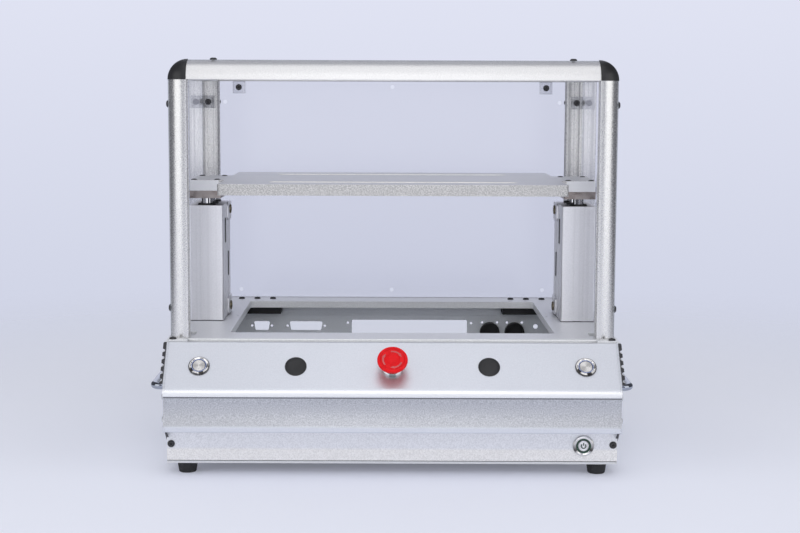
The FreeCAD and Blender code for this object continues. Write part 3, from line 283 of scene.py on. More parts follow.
def nose_shade_and_highlight(made, heights, frontal, shade, rough, sheen):
    """Coarse cove above the lip with painted shade, a painted shadow line under the nose, a painted highlight
    on the nose.
    """
    lip, low, high = heights
    # Masks of the painted shade in the cove, the painted shadow line and the painted highlight on the nose.
    cove = made.times(made.band((lip - 1.0, lip + 1.0), (low - 0.3, low + 0.3)), frontal)
    painted_shadow_line = made.times(made.band((low - 1.8, low - 1.2), (low - 0.2, low + 0.2)), frontal)
    rubbed_and_highlight = made.times(made.band((low, low + 1.0), (high - 2.0, high)), frontal)
    coarse = made.mottle(made.noise(1.2), (0.43, 0.44, 0.47), (0.67, 0.68, 0.71))
    painted_shadow, bright = (0.13, 0.13, 0.13), (0.97, 0.975, 0.98)
    shade = made.tint(cove, shade, coarse)
    shade = made.tint(made.times(painted_shadow_line, 0.8), shade, painted_shadow)
    shade = made.tint(rubbed_and_highlight, shade, bright)
    rough = made.minus(rough, made.times(rubbed_and_highlight, 0.24))
    return shade, rough, made.span(rubbed_and_highlight, sheen, 0.45, 0.0, 1.0)


def dark_front_ends(made, ends, frontal, shade):
    """Front faces made dark beyond a distance from the middle, and between two heights as painted shade under
    the lip.
    """
    face, foot, top = ends
    beyond = made.math("GREATER_THAN", made.aside(), face * MM)
    # Painted shade on the slanted ends below the lip.
    under_lip = made.band((foot, foot + 1.0), (top - 1.0, top))
    edge_faces = made.math("MAXIMUM", beyond, under_lip)
    return made.tint(made.times(edge_faces, frontal), shade, (0.07, 0.07, 0.075))


def blasted_aluminium(name, sheen=0.86, dark=(0.72, 0.74, 0.79), light=(0.77, 0.79, 0.84), corner_shade=0.62,
                      nose=None, dark_ends=None, warm_reflection_to=None, front=None):
    """Bead-blasted, clear anodised sheet: a fine sandy grain, brighter edges and painted shade in corners.

    The argument corner_shade is how far painted shade darkens the corners. Nose gives the heights of a cove
    with painted shade, a painted shadow line and a painted highlight on the nose, and dark_ends where faces
    toward the front are dark, partly as painted shade. Up to the height warm_reflection_to a creamy tone is
    painted as a warm reflection. Front gives another sheen and other shades to the faces that face the front.
    """
    made = Finish(name)
    cloud = made.noise(120.0)
    sand = made.noise(1.3)
    fine = made.noise(0.45)
    edge = made.edge_share(0.5)
    frontal = made.span(made.dot(made.facing, FRONT_OUT), 0.0, 1.0, 0.2, 0.5)
    bright_edge, painted_corner_shade = (0.90, 0.90, 0.91), (0.20, 0.205, 0.22)
    shade = made.mottle(sand, dark, light)
    shade = made.tint(made.times(edge, 0.5), shade, bright_edge)
    rough = made.plus(made.span(fine, 0.38, 0.46), made.span(cloud, -0.015, 0.015))
    rough = made.minus(rough, made.times(edge, 0.12))
    if front:
        front_sheen, front_dark, front_light = front
        shade = made.tint(frontal, shade, made.mottle(sand, front_dark, front_light))
        sheen = made.span(frontal, sheen, front_sheen, 0.0, 1.0)
    # Painted reflection: a warm creamy tone up to a height.
    if warm_reflection_to:
        painted_warm_reflection = made.mottle(sand, (0.79, 0.775, 0.75), (0.99, 0.975, 0.95))
        shade = made.tint(made.height(warm_reflection_to - 1.5, warm_reflection_to + 1.5), painted_warm_reflection, shade)
    # Painted shade in the cove and under the nose, and a painted highlight on the nose.
    if nose:
        shade, rough, sheen = nose_shade_and_highlight(made, nose, frontal, shade, rough, sheen)
    # Dark front faces, with painted shade below the lip.
    if dark_ends:
        shade = dark_front_ends(made, dark_ends, frontal, shade)
    # Painted shade: corners and grooves darkened by ambient occlusion.
    closed = made.span(made.corners(7.0), corner_shade, 0.0, 0.25, 0.85)
    made.set(Base_Color=made.tint(closed, shade, painted_corner_shade), Metallic=sheen, Roughness=rough)
    height = made.plus(sand, made.times(fine, 0.5))
    made.set(Normal=made.bump(height, 0.035, made.soft_edges(0.5)))
    return made


def drawn_aluminium(name, stretch, dark=(0.73, 0.725, 0.715), light=(0.85, 0.845, 0.835), gloss=0.28,
                    bands=0.0, grit=0.10):
    """Satin extrusion: a sandy grain over faint lines along its length.

    Bands is the strength of darker bands along it, painted shade in place of grooves, and grit the depth of
    the grain.
    """
    made = Finish(name)
    sand = made.noise(1.1)
    lines = made.noise(0.5, stretch=stretch)
    edge = made.edge_share(0.4)
    longer = tuple(0.2 * part if part < 1.0 else part for part in stretch)
    # Painted shade: darker bands along the length, standing for grooves.
    painted_groove_shade = made.span(made.noise(4.0, 1.0, longer), 0.0, bands, 0.50, 0.64)
    band_shade, bright_edge = (0.26, 0.26, 0.27), (0.92, 0.92, 0.92)
    shade = made.tint(painted_groove_shade, made.mottle(sand, dark, light), band_shade)
    shade = made.tint(made.times(edge, 0.4), shade, bright_edge)
    rough = made.plus(made.span(sand, gloss - 0.04, gloss + 0.04), made.span(lines, -0.02, 0.02))
    made.set(Base_Color=shade, Metallic=0.92, Roughness=rough)
    height = made.plus(sand, made.times(lines, 0.25))
    made.set(Normal=made.bump(height, grit, made.soft_edges(0.4)))
    return made


def milled_plate(name):
    """Press plate: matt faces and ears, speckled sawn sides, and a painted highlight on broken edges and slot
    walls.
    """
    made = Finish(name)
    fine = made.noise(0.6, 3.0)
    coarse = made.noise(1.2)
    edge = made.edge_share(1.0)
    upright = made.math("ABSOLUTE", made.dot(made.facing, UPWARD))
    ear = made.span(made.aside(), 0.0, 1.0, EAR_START * MM, (EAR_START + 1.0) * MM)
    rim = made.times(made.span(upright, 1.0, 0.0, 0.4, 0.8), made.minus(1.0, ear))
    low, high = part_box(name)
    middle = (low + high) / 2.0
    slots = Vector(SLOT_FIELD) * MM / 2.0
    steep = made.span(upright, 1.0, 0.0, 0.8, 0.98)
    slot_wall = made.times(made.within(middle - slots, middle + slots), steep)
    face = made.mottle(fine, (0.75, 0.755, 0.77), (0.82, 0.825, 0.84))
    speckle = made.span(coarse, 0.0, 1.0, 0.40, 0.60)
    edge_faces = made.tint(speckle, (0.44, 0.435, 0.425), (0.70, 0.69, 0.675))
    bright_edge, painted_highlight_wall = (0.96, 0.95, 0.93), (0.97, 0.955, 0.92)
    # Painted highlight on the broken edges.
    shade = made.tint(made.times(edge, 0.9), made.tint(rim, face, edge_faces), bright_edge)
    # Painted highlight: pale, less metallic slot walls.
    made.set(Base_Color=made.tint(slot_wall, shade, painted_highlight_wall))
    made.set(Metallic=made.span(slot_wall, 0.85, 0.05, 0.0, 1.0))
    rough = made.plus(made.span(fine, 0.42, 0.50), made.times(slot_wall, -0.2))
    made.set(Roughness=made.minus(rough, made.times(edge, 0.2)))
    made.set(Normal=made.bump(fine, 0.02, made.soft_edges(0.7)))
    return made


def oiled_steel(name):
    """Brown-grey steel with cloudy patches and bright rubbed edges."""
    made = Finish(name)
    patch = made.noise(9.0, 4.0)
    scratch = made.noise(0.4, stretch=(0.08, 1.0, 1.0))
    shade = made.mottle(patch, (0.22, 0.19, 0.18), (0.40, 0.36, 0.345))
    rubbed_and_highlight = (0.72, 0.69, 0.67)
    shade = made.tint(made.times(made.edge_share(0.5), 0.6), shade, rubbed_and_highlight)
    made.set(Base_Color=shade, Metallic=1.0)
    made.set(Roughness=made.plus(made.span(patch, 0.24, 0.40), made.span(scratch, -0.04, 0.04)))
    made.set(Normal=made.bump(scratch, 0.01, made.soft_edges(0.5)))
    return made


def polished_metal(name, shade=(0.56, 0.56, 0.57), gloss=0.06):
    """Chromed or ground steel with hairline marks."""
    made = Finish(name)
    hair = made.noise(0.35, stretch=(1.0, 0.12, 1.0))
    haze = made.noise(14.0, 3.0)
    darker = tuple(0.88 * part for part in shade)
    made.set(Base_Color=made.mottle(haze, darker, shade), Metallic=1.0)
    made.set(Roughness=made.plus(made.span(haze, gloss - 0.02, gloss + 0.03), made.span(hair, -0.02, 0.02)))
    made.set(Normal=made.bump(hair, 0.003, made.soft_edges(0.25)))
    return made


def ground_rod(name):
    """Hardened ground rod with a painted reflection: bright and dark streaks along its length."""
    made = Finish(name)
    streak = made.span(made.noise(2.2, 1.0, (1.0, 1.0, 0.01)), 0.0, 1.0, 0.42, 0.56)
    hair = made.noise(0.3, stretch=(1.0, 1.0, 0.05))
    # Painted reflection: bright and dark streaks.
    shade = made.tint(streak, (0.09, 0.09, 0.10), (0.86, 0.86, 0.87))
    made.set(Base_Color=shade, Metallic=1.0, Roughness=made.span(hair, 0.05, 0.11))
    made.set(Normal=made.bump(hair, 0.002, made.soft_edges(0.25)))
    return made


def turned_steel(name, centre, axis, bright, shades):
    """Facing cut on a lathe: close rings, and a painted highlight in two fans, one of them at the angle
    bright.
    """
    made = Finish(name)
    groove_pitch = 0.22
    radius, angle = made.around(centre, axis)
    groove = made.math("SINE", made.times(radius, 2.0 * math.pi / groove_pitch))
    # Painted highlight: the cap's shade swings between two tones in two fans.
    swing = made.times(made.minus(angle, math.radians(bright)), 2.0)
    fine = made.noise(0.3)
    fan = made.span(made.math("COSINE", swing), 0.0, 0.8, -0.9, 0.9)
    share = made.plus(fan, made.span(fine, 0.0, 0.2))
    made.set(Base_Color=made.tint(share, *shades), Metallic=1.0, Roughness=made.span(fine, 0.22, 0.32))
    made.set(Normal=made.bump(groove, 0.004, made.soft_edges(0.3)))
    return made


def domed_chrome(name, centre, axis, rim, fans, depth=0.9, low=(0.055, 0.052, 0.050)):
    """Chromed bezel with a painted reflection: a bright dome with patches in a low tone below.

    Beyond the radius rim its outer edge takes the low tone of the painted reflection too, to the share depth.
    """
    made = Finish(name)
    radius, angle = made.around(centre, axis)
    # Painted reflection: dark patches below and a dark outer edge.
    patches = made.span(made.math("COSINE", made.times(angle, float(fans))), 0.0, 1.0, -0.2, 0.5)
    below = made.span(made.math("SINE", angle), 1.0, 0.25, -0.5, 0.4)
    edge = made.span(radius, 0.0, depth, rim - 0.3, rim + 0.5)
    dark = made.math("MAXIMUM", made.times(patches, below), edge)
    haze = made.noise(1.4, 3.0)
    shade = made.tint(dark, (0.93, 0.915, 0.89), low)
    made.set(Base_Color=shade, Metallic=1.0, Roughness=made.span(haze, 0.06, 0.14))
    made.set(Normal=made.soft_edges(0.3))
    return made


def brass(name):
    """Turned brass, darkened, with a little shine left."""
    made = Finish(name)
    patch = made.noise(2.5, 3.0)
    fine = made.noise(0.3)
    shade = made.mottle(patch, (0.13, 0.11, 0.075), (0.34, 0.29, 0.19))
    made.set(Base_Color=shade, Metallic=1.0, Roughness=made.span(patch, 0.34, 0.20))
    made.set(Normal=made.bump(fine, 0.006, made.soft_edges(0.25)))
    return made


def black_oxide(name, plated_beyond=None):
    """Blackened screws with worn edges and painted shade in their sockets, zinc plated beyond a distance from
    the middle.
    """
    made = Finish(name)
    fine = made.noise(0.3)
    edge = made.edge_share(0.35)
    # Painted shade in the sockets.
    socket = made.span(made.corners(1.5), 1.0, 0.0, 0.45, 0.82)
    rubbed_and_highlight, painted_socket_shade, zinc = (0.36, 0.36, 0.37), (0.003, 0.003, 0.003), (0.66, 0.67, 0.70)
    shade = made.mottle(fine, (0.035, 0.035, 0.037), (0.065, 0.065, 0.069))
    shade = made.tint(made.times(edge, 0.6), shade, rubbed_and_highlight)
    shade = made.tint(socket, shade, painted_socket_shade)
    if plated_beyond:
        shade = made.tint(made.math("GREATER_THAN", made.aside(), plated_beyond * MM), shade, zinc)
    made.set(Base_Color=shade, Metallic=0.5, Roughness=made.span(fine, 0.24, 0.36))
    made.set(Normal=made.bump(fine, 0.008, made.soft_edges(0.25)))
    return made


# Plastic, rubber and clear finishes

def grained_plastic(name, dark, light, grain=0.5, depth=0.02, gloss=0.42):
    """Moulded plastic with a fine spark-eroded grain and slightly polished edges."""
    made = Finish(name)
    fine = made.noise(grain, 3.0)
    broad = made.noise(25.0)
    edge = made.edge_share(0.4)
    worn = tuple(min(1.0, part * 1.6 + 0.02) for part in light)
    made.set(Base_Color=made.tint(made.times(edge, 0.5), made.mottle(broad, dark, light), worn))
    rough = made.minus(made.span(fine, gloss - 0.06, gloss + 0.10), made.times(edge, 0.10))
    made.set(Roughness=rough, Normal=made.bump(fine, depth, made.soft_edges(0.4)))
    return made


def rubber(name):
    """Matt rubber with a dusting of pale specks."""
    made = Finish(name)
    fine = made.noise(0.45, 3.0)
    dust = made.span(made.noise(3.0, 4.0), 0.0, 0.6, 0.55, 0.85)
    shade = made.tint(dust, (0.022, 0.022, 0.024), (0.09, 0.09, 0.10))
    made.set(Base_Color=shade, Roughness=made.span(fine, 0.68, 0.86))
    made.set(Normal=made.bump(fine, 0.05, made.soft_edges(0.5)))
    return made


def stop_plastic(name):
    """Bright red of the stop head, with painted shade along its edges and in its ring channel."""
    made = Finish(name)
    flow = made.noise(6.0, 3.0)
    fine = made.noise(0.4)
    edge = made.edge_share(0.5)
    # Painted shade in the ring channel and along the edges.
    channel = made.span(made.corners(3.0), 0.8, 0.0, 0.60, 0.95)
    painted_channel_shade, painted_edge_shade = (0.30, 0.003, 0.006), (0.36, 0.004, 0.008)
    shade = made.mottle(flow, (0.74, 0.006, 0.010), (0.84, 0.010, 0.015))
    shade = made.tint(channel, shade, painted_channel_shade)
    made.set(Base_Color=made.tint(made.times(edge, 0.7), shade, painted_edge_shade))
    made.set(Roughness=made.span(fine, 0.24, 0.34), Specular_IOR_Level=0.15)
    made.set(Normal=made.bump(fine, 0.006, made.soft_edges(0.5)))
    return made


def lens_plastic(name, dark, light):
    """Light ring of a push button, unlit: cloudy tinted plastic."""
    made = Finish(name)
    cloud = made.noise(1.2, 3.0)
    made.set(Base_Color=made.mottle(cloud, dark, light))
    made.set(Roughness=made.span(cloud, 0.18, 0.30), Coat_Weight=0.4, Coat_Roughness=0.1)
    made.set(Normal=made.bump(cloud, 0.004, made.soft_edges(0.2)))
    return made


def clear_acrylic(name, sheet_axis=None, drilled=None, haze=0.02):
    """Clear sheet: see-through faces with a gloss that grows at grazing angles, and darker sawn edges.

    Edges that lie within the box drilled are the walls of holes, painted pale as a highlight. Haze blurs the
    gloss. Without a sheet axis it is a block, which darkens toward its edges with a painted shade.
    """
    made = Finish(name)
    smear = made.noise(45.0, 3.0)
    fine = made.noise(0.5)
    clear, painted_highlight_wall = (0.930, 0.931, 0.944, 1.0), (0.90, 0.91, 0.93)
    gloss = made.add("ShaderNodeBsdfGlossy", {"Color": (1.0, 1.0, 1.0, 1.0),
                                              "Roughness": made.span(smear, 0.9 * haze, 1.1 * haze)})
    through = made.add("ShaderNodeBsdfTransparent", {"Color": clear})
    entering = made.minus(1.0, made.add("ShaderNodeNewGeometry").outputs["Backfacing"])
    one_face = made.add("ShaderNodeFresnel", {"IOR": 1.36}).outputs[0]
    both_faces = made.math("DIVIDE", made.times(one_face, 2.0), made.plus(one_face, 1.0))
    face = made.mix(made.times(both_faces, entering), through.outputs[0], gloss.outputs[0])
    edge_faces = made.mottle(fine, (0.24, 0.26, 0.29), (0.40, 0.42, 0.45))
    if drilled:
        # Painted highlight on the walls of holes.
        edge_faces = made.tint(made.within(*drilled), edge_faces, painted_highlight_wall)
    made.set(Base_Color=edge_faces, Roughness=made.span(fine, 0.25, 0.40), Normal=made.bump(fine, 0.01))
    if sheet_axis is None:
        # Painted shade: the block darkens toward its edges.
        share = made.plus(made.times(made.edge_share(1.4), 0.80), 0.12)
    else:
        across = made.math("ABSOLUTE", made.dot(made.facing, sheet_axis))
        share = made.span(across, 0.8, 0.0, 0.3, 0.7)
    made.show(made.mix(share, face, made.shader.outputs[0]))
    return made


def circuit_board(name):
    """Green solder mask with the faint relief of copper tracks."""
    made = Finish(name)
    track_pitch = 4.0
    weave = made.noise(0.6)
    cells = made.add("ShaderNodeTexVoronoi", {"Vector": made.place, "Scale": 1.0 / (track_pitch * MM)},
                     distance="MANHATTAN", feature="F1")
    tracks = made.span(cells.outputs["Distance"], 1.0, 0.0, 0.30, 0.34)
    shade = made.tint(tracks, (0.012, 0.085, 0.035), (0.03, 0.15, 0.06))
    made.set(Base_Color=shade, Roughness=made.span(weave, 0.25, 0.36), Coat_Weight=0.3)
    made.set(Normal=made.bump(made.plus(tracks, made.times(weave, 0.2)), 0.03))
    return made


# Finishes on the CAD nodes

def dress_base():
    dress(["front_profile"], blasted_aluminium("nose_aluminium", nose=NOSE_HEIGHTS))
    dress(["left_side_panel", "right_side_panel"],
          blasted_aluminium("side_aluminium", sheen=0.25, dark=(0.80, 0.81, 0.83), light=(0.88, 0.89, 0.91),
                            nose=NOSE_HEIGHTS, dark_ends=(SIDE_FACE, *WEDGE_HEIGHTS),
                            front=(0.86, (0.64, 0.66, 0.71), (0.73, 0.75, 0.80))))
    # Lower panel with a painted warm reflection along its foot.
    dress(["lower_front_panel"],
          blasted_aluminium("panel_aluminium", sheen=0.80, dark=(0.73, 0.735, 0.755),
                            light=(0.90, 0.905, 0.925), warm_reflection_to=WARM_REFLECTION_HEIGHT))
    dress(["deck_plate"],
          blasted_aluminium("deck_aluminium", sheen=0.45, dark=(0.80, 0.81, 0.845), light=(0.88, 0.89, 0.925),
                            front=(0.10, (0.86, 0.87, 0.89), (0.95, 0.96, 0.98))))
    dress(["bottom_plate"],
          blasted_aluminium("floor_aluminium", sheen=0.15, dark=(0.66, 0.67, 0.69), light=(0.74, 0.75, 0.77)))
    # Rear panel: whiter than the other aluminium, a painted light for the dim bay, and without painted corner
    # shade.
    dress(["rear_panel"],
          blasted_aluminium("lit_matt_aluminium", sheen=0.10, dark=(0.88, 0.905, 0.95), light=(0.93, 0.955, 1.0),
                            corner_shade=0.0))
    dress(["left_handle", "right_handle"], polished_metal("handle_steel", (0.43, 0.46, 0.53), 0.12))


def dress_hood_and_press():
    along_x, along_y, along_z = (0.02, 1.0, 1.0), (1.0, 0.02, 1.0), (1.0, 1.0, 0.02)
    dress(["left_front_post", "right_front_post"], drawn_aluminium("post_aluminium", along_z))
    # Bands on the rear posts and columns are painted groove shade.
    dress(["left_rear_post", "right_rear_post"], drawn_aluminium("rear_post_aluminium", along_z, bands=0.75))
    dress(["front_rail", "rear_rail"], drawn_aluminium("rail_aluminium", along_x, gloss=0.34))
    dress(["left_top_rail", "right_top_rail"], drawn_aluminium("side_rail_aluminium", along_y, gloss=0.34))
    dress(["left_cylinder_body", "right_cylinder_body"],
          drawn_aluminium("column_aluminium", along_z, dark=(0.80, 0.80, 0.825), light=(0.87, 0.87, 0.895),
                          gloss=0.36, bands=0.07, grit=0.03))
    dress(["press_plate"], milled_plate("press_plate"))
    dress(["left_end_plate", "right_end_plate"], oiled_steel("oiled_steel"))
    dress(["left_piston_rod", "right_piston_rod", "guide_rods"], ground_rod("ground_rod"))


def dress_controls():
    dress(["estop_stem"], polished_metal("polished_steel"))
    dress(["switch_nuts"], polished_metal("switch_steel", (0.74, 0.73, 0.72), 0.08))
    start_shades = (0.40, 0.39, 0.38), (0.76, 0.745, 0.72)
    power_shades = (0.64, 0.64, 0.635), (0.95, 0.945, 0.93)
    # Columns: part, axis, angle of the cap's painted highlight, the cap's shades, and the count and depth of
    # the bezel's painted reflection patches.
    switches = (("left_start", SLOPE_OUT, 95.0, start_shades, 5, 0.9),
                ("right_start", SLOPE_OUT, -50.0, start_shades, 5, 0.9),
                ("power_switch", FRONT_OUT, 90.0, power_shades, 2, 0.3))
    for switch, axis, bright, shades, fans, depth in switches:
        low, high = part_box(switch + "_cap")
        middle = (low + high) / 2.0
        low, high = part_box(switch + "_body")
        rim = (high.x - low.x) / 2.0 / MM - 1.0
        dress([switch + "_cap"], turned_steel(switch + "_cap_steel", middle, axis, bright, shades))
        dress([switch + "_body"], domed_chrome(switch + "_chrome", middle, axis, rim, fans, depth))
    low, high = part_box("estop_stem")
    stem_width = (high.x - low.x) / MM
    # The collar has a painted reflection too.
    dress(["estop_collar"],
          domed_chrome("collar_chrome", (low + high) / 2.0, SLOPE_OUT, 2.0 * stem_width, 4,
                       low=(0.26, 0.28, 0.27)))
    dress(["left_start_ring", "right_start_ring"],
          lens_plastic("blue_lens", (0.17, 0.22, 0.45), (0.26, 0.33, 0.58)))
    dress(["power_switch_ring"], lens_plastic("green_lens", (0.008, 0.035, 0.020), (0.02, 0.075, 0.045)))
    dress(["estop_head"], stop_plastic("stop_red"))


def dress_small_parts():
    dress(["hood_screws", "press_screws"], black_oxide("black_oxide"))
    dress(["base_screws"], black_oxide("base_black_oxide", SIDE_FACE))
    black, charcoal = (0.012, 0.012, 0.013), (0.022, 0.022, 0.024)
    dress(["corner_caps"],
          grained_plastic("corner_plastic", black, charcoal, grain=0.6, depth=0.025, gloss=0.38))
    dress(["hole_plugs", "rear_hole_plugs", "rod_bushes", "reed_sensors", "estop_contact_block",
           "power_inlet", "cylinder_caps"], grained_plastic("black_plastic", black, charcoal))
    dress(["deck_brackets"], grained_plastic("black_block", (0.014, 0.014, 0.016), (0.024, 0.024, 0.027)))
    dress(["rubber_feet"], rubber("black_rubber"))
    dress(["port_plugs", "air_inlet"], brass("port_brass"))
    dress(["control_board"], circuit_board("board_green"))
    dress(["solenoid_valve"],
          grained_plastic("valve_paint", (0.30, 0.31, 0.33), (0.38, 0.39, 0.41), grain=0.8))


def dress_windows():
    blurred = 0.18
    dress(["left_window", "right_window"], clear_acrylic("clear_side_sheet", ACROSS))
    low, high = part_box("rear_window")
    border = Vector((WINDOW_BORDER, -WINDOW_BORDER, WINDOW_BORDER)) * MM
    dress(["rear_window"],
          clear_acrylic("clear_rear_sheet", FRONT_OUT, drilled=(low + border, high - border), haze=blurred))
    dress(["top_window"], clear_acrylic("clear_top_sheet", UPWARD, haze=blurred))
    dress(["window_blocks"], clear_acrylic("clear_block"))


# Added details

def plate_from_outline(name, outline, thickness):
    """Flat plate on the xy plane from a closed outline."""
    build = bmesh.new()
    face = build.faces.new([build.verts.new((x, y, 0.0)) for x, y in outline])
    grown = bmesh.ops.extrude_face_region(build, geom=[face])
    lifted = [item for item in grown["geom"] if isinstance(item, bmesh.types.BMVert)]
    bmesh.ops.translate(build, vec=(0.0, 0.0, thickness), verts=lifted)
    bmesh.ops.recalc_face_normals(build, faces=build.faces)
    mesh = bpy.data.meshes.new(name)
    build.to_mesh(mesh)
    build.free()
    piece = bpy.data.objects.new(name, mesh)
    bpy.context.collection.objects.link(piece)
    return piece


def arc(radius, start, stop, steps):
    """Points on a circle about the origin, angles in degrees."""
    turns = [math.radians(start + (stop - start) * step / steps) for step in range(steps + 1)]
    return [(radius * math.cos(turn), radius * math.sin(turn)) for turn in turns]


def curved_arrow(inner, outer, start, stop, head):
    """Outline of an arrow bent round the origin, its head taking the last degrees of the sweep."""
    middle = (inner + outer) / 2.0
    flare = outer - inner
    tail = stop - head
    points = arc(outer, start, tail, 10)
    points += arc(middle + flare, tail, tail, 1)[:1]
    points += arc(middle, stop, stop, 1)[:1]
    points += arc(middle - flare, tail, tail, 1)[:1]
    points += arc(inner, tail, start, 10)
    return points


def frame_on(origin, outward, upward):
    """Placement with its z axis outward and its y axis upward."""
    side = upward.cross(outward)
    turned = Matrix((side, upward, outward)).transposed().to_4x4()
    return Matrix.Translation(origin) @ turned


def finish_piece(piece, placement, made, body):
    """Places an added piece, gives it a finish and has it ride on a body."""
    piece.data.transform(placement)
    piece.data.materials.append(made.material)
    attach(piece, body)


def add_power_symbol():
    """Open ring and bar raised on the power button's cap."""
    low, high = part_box("power_switch_cap")
    face = Vector(((low.x + high.x) / 2.0, low.y, (low.z + high.z) / 2.0))
    placement = frame_on(face, FRONT_OUT, UPWARD)
    ink = lens_plastic("symbol_green", (0.010, 0.040, 0.026), (0.02, 0.07, 0.045))
    inner, outer = (radius * MM for radius in SIGN_RADII)
    start, stop = SIGN_SWEEP
    ring = arc(outer, start, stop, 28) + arc(inner, stop, start, 28)
    side, foot, top = (size * MM for size in SIGN_BAR)
    bar = [(-side, foot), (side, foot), (side, top), (-side, top)]
    for name, outline in (("power_symbol_ring", ring), ("power_symbol_bar", bar)):
        piece = plate_from_outline(name, outline, SIGN_HEIGHT * MM)
        finish_piece(piece, placement, ink, "power_switch")


def add_stop_arrows():
    """Arrows in the stop head's ring channel, pointing the way it twists to let go."""
    low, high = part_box("estop_stem")
    size = high - low
    length = (size.z - size.x * SLOPE_UP.z) / SLOPE_OUT.z
    stem_top = (low + high) / 2.0 + SLOPE_OUT * (length / 2.0)
    ink = grained_plastic("arrow_red", (0.58, 0.08, 0.085), (0.68, 0.13, 0.135))
    placement = frame_on(stem_top + SLOPE_OUT * (ARROW_LIFT * MM), SLOPE_OUT, SLOPE_UP)
    inner, outer = (radius * MM for radius in ARROW_RADII)
    for number in range(ARROW_COUNT):
        start = ARROW_START - 360.0 / ARROW_COUNT * number
        outline = curved_arrow(inner, outer, start, start - ARROW_SWEEP, -ARROW_HEAD)
        piece = plate_from_outline("stop_arrow_%d" % (number + 1), outline, ARROW_HEIGHT * MM)
        finish_piece(piece, placement, ink, "stop_head")


# Camera, floor and light

def add_camera():
    data = bpy.data.cameras.new("camera")
    data.sensor_width = SENSOR_WIDTH
    data.lens = FOCAL_LENGTH
    data.shift_x = LENS_SHIFT
    data.clip_start = NEAREST
    camera = bpy.data.objects.new("camera", data)
    tilt = Matrix.Rotation(math.radians(CAMERA_TILT), 4, "X")
    roll = Matrix.Rotation(math.radians(CAMERA_ROLL), 4, "Z")
    camera.matrix_world = Matrix.Translation(CAMERA_PLACE) @ tilt @ roll
    bpy.context.collection.objects.link(camera)
    bpy.context.scene.camera = camera


def floor_paper(name):
    """Pale paper that fades out into the backdrop, and in reflections into the dim corners behind."""
    made = Finish(name)
    made.set(Base_Color=made.mottle(made.noise(1.5), (0.77, 0.785, 0.87), (0.79, 0.805, 0.89)))
    made.set(Roughness=0.8, Specular_IOR_Level=0.2)
    path = made.add("ShaderNodeLightPath")
    made.set(Emission_Color=(0.86, 0.88, 1.0, 1.0))
    made.set(Emission_Strength=made.times(made.seen_directly(path), FLOOR_GLOW))
    reach = made.add("ShaderNodeVectorMath", {0: made.place}, operation="LENGTH").outputs["Value"]
    fade = made.add("ShaderNodeMapRange",
                    {"Value": reach, "From Min": FLOOR_FADE[0], "From Max": FLOOR_FADE[1]},
                    interpolation_type="SMOOTHSTEP").outputs["Result"]
    behind = made.span(made.dot(made.place, -FRONT_OUT), 0.0, 1.0, *CORNER_DEPTH)
    corner = made.times(made.span(made.aside(), 0.0, 1.0, *CORNER_SIDE), behind)
    unseen = made.times(fade, path.outputs["Is Camera Ray"])
    unseen = made.math("MAXIMUM", unseen, made.times(corner, path.outputs["Is Glossy Ray"]))
    clear = made.add("ShaderNodeBsdfTransparent").outputs[0]
    made.show(made.mix(unseen, made.shader.outputs[0], clear))
    return made


def add_floor():
    build = bmesh.new()
    bmesh.ops.create_grid(build, x_segments=2, y_segments=2, size=FLOOR_REACH)
    mesh = bpy.data.meshes.new("floor")
    build.to_mesh(mesh)
    build.free()
    floor = bpy.data.objects.new("floor", mesh)
    bpy.context.collection.objects.link(floor)
    floor.data.materials.append(floor_paper("floor_paper").material)


def add_softbox(name, azimuth, elevation, distance, width, height, brightness):
    """Soft box aimed at the object. Azimuth 0 stands in front, and positive is to the right."""
    turn, rise = math.radians(azimuth), math.radians(elevation)
    away = Vector((math.sin(turn) * math.cos(rise), -math.cos(turn) * math.cos(rise), math.sin(rise)))
    data = bpy.data.lights.new(name, "AREA")
    data.shape = "RECTANGLE"
    data.size = width
    data.size_y = height
    data.energy = brightness * math.pi * width * height
    lamp = bpy.data.objects.new(name, data)
    turned = away.to_track_quat("Z", "Y").to_matrix().to_4x4()
    lamp.matrix_world = Matrix.Translation(LIGHT_AIM + away * distance) @ turned
    lamp.visible_camera = False
    bpy.context.collection.objects.link(lamp)


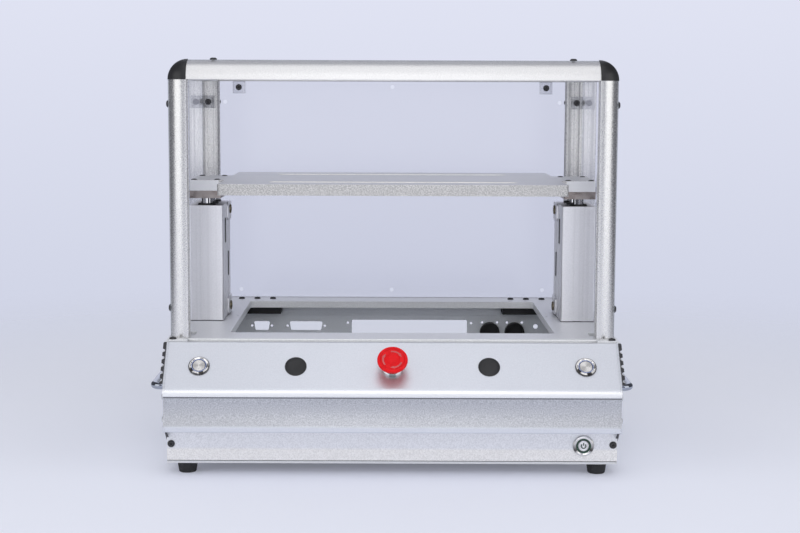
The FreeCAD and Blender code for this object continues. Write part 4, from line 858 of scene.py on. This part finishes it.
def mirrored_level(nodes, parts):
    """Level of the surroundings in reflections: raised by the backdrop, and low to the sides."""
    behind = nodes.span(parts.outputs["Y"], 0.0, MIRRORED_BACKDROP, *TOWARD_BACK)
    backdrop = nodes.times(behind, nodes.span(parts.outputs["Z"], 1.0, MIRRORED_OVERHEAD, *OVERHEAD))
    spread = nodes.plus(nodes.times(behind, NARROWING), 1.0)
    sideways = nodes.times(nodes.math("ABSOLUTE", parts.outputs["X"]), spread)
    aside = nodes.span(sideways, 1.0, MIRRORED_ASIDE, *FAR_ASIDE)
    return nodes.times(nodes.plus(backdrop, MIRRORED_LEVEL), aside)


def add_world():
    """Pale lavender surroundings, dimmer to the sides in reflections, and a plain ambient level."""
    world = bpy.data.worlds.new("studio")
    world.use_nodes = True
    bpy.context.scene.world = world
    nodes = Nodes(world.node_tree)
    direction = nodes.add("ShaderNodeTexCoord").outputs["Generated"]
    parts = nodes.add("ShaderNodeSeparateXYZ", {"Vector": direction})
    rise = nodes.span(parts.outputs["Z"], 0.0, 1.0, *BACKDROP_RISE)
    ramp = nodes.add("ShaderNodeValToRGB", {0: rise})
    for element, colour in zip(ramp.color_ramp.elements, (BACKDROP_LOW, BACKDROP_HIGH)):
        element.color = colour
    path = nodes.add("ShaderNodeLightPath")
    level = nodes.add("ShaderNodeMix", {"Factor": path.outputs["Is Glossy Ray"], "A": 1.0,
                                        "B": mirrored_level(nodes, parts)})
    seen = nodes.add("ShaderNodeBackground", {"Color": ramp.outputs[0], "Strength": level.outputs["Result"]})
    ambient = nodes.add("ShaderNodeBackground", {"Color": AMBIENT_COLOUR, "Strength": AMBIENT_LEVEL})
    surroundings = nodes.mix(nodes.seen_directly(path), ambient.outputs[0], seen.outputs[0])
    nodes.add("ShaderNodeOutputWorld", {"Surface": surroundings})


dress_base()
dress_hood_and_press()
dress_controls()
dress_small_parts()
dress_windows()
add_power_symbol()
add_stop_arrows()
add_camera()
add_floor()
for box_name, box_values in SOFT_BOXES.items():
    add_softbox(box_name, *box_values)
add_world()
bpy.context.scene.view_settings.view_transform = "Standard"
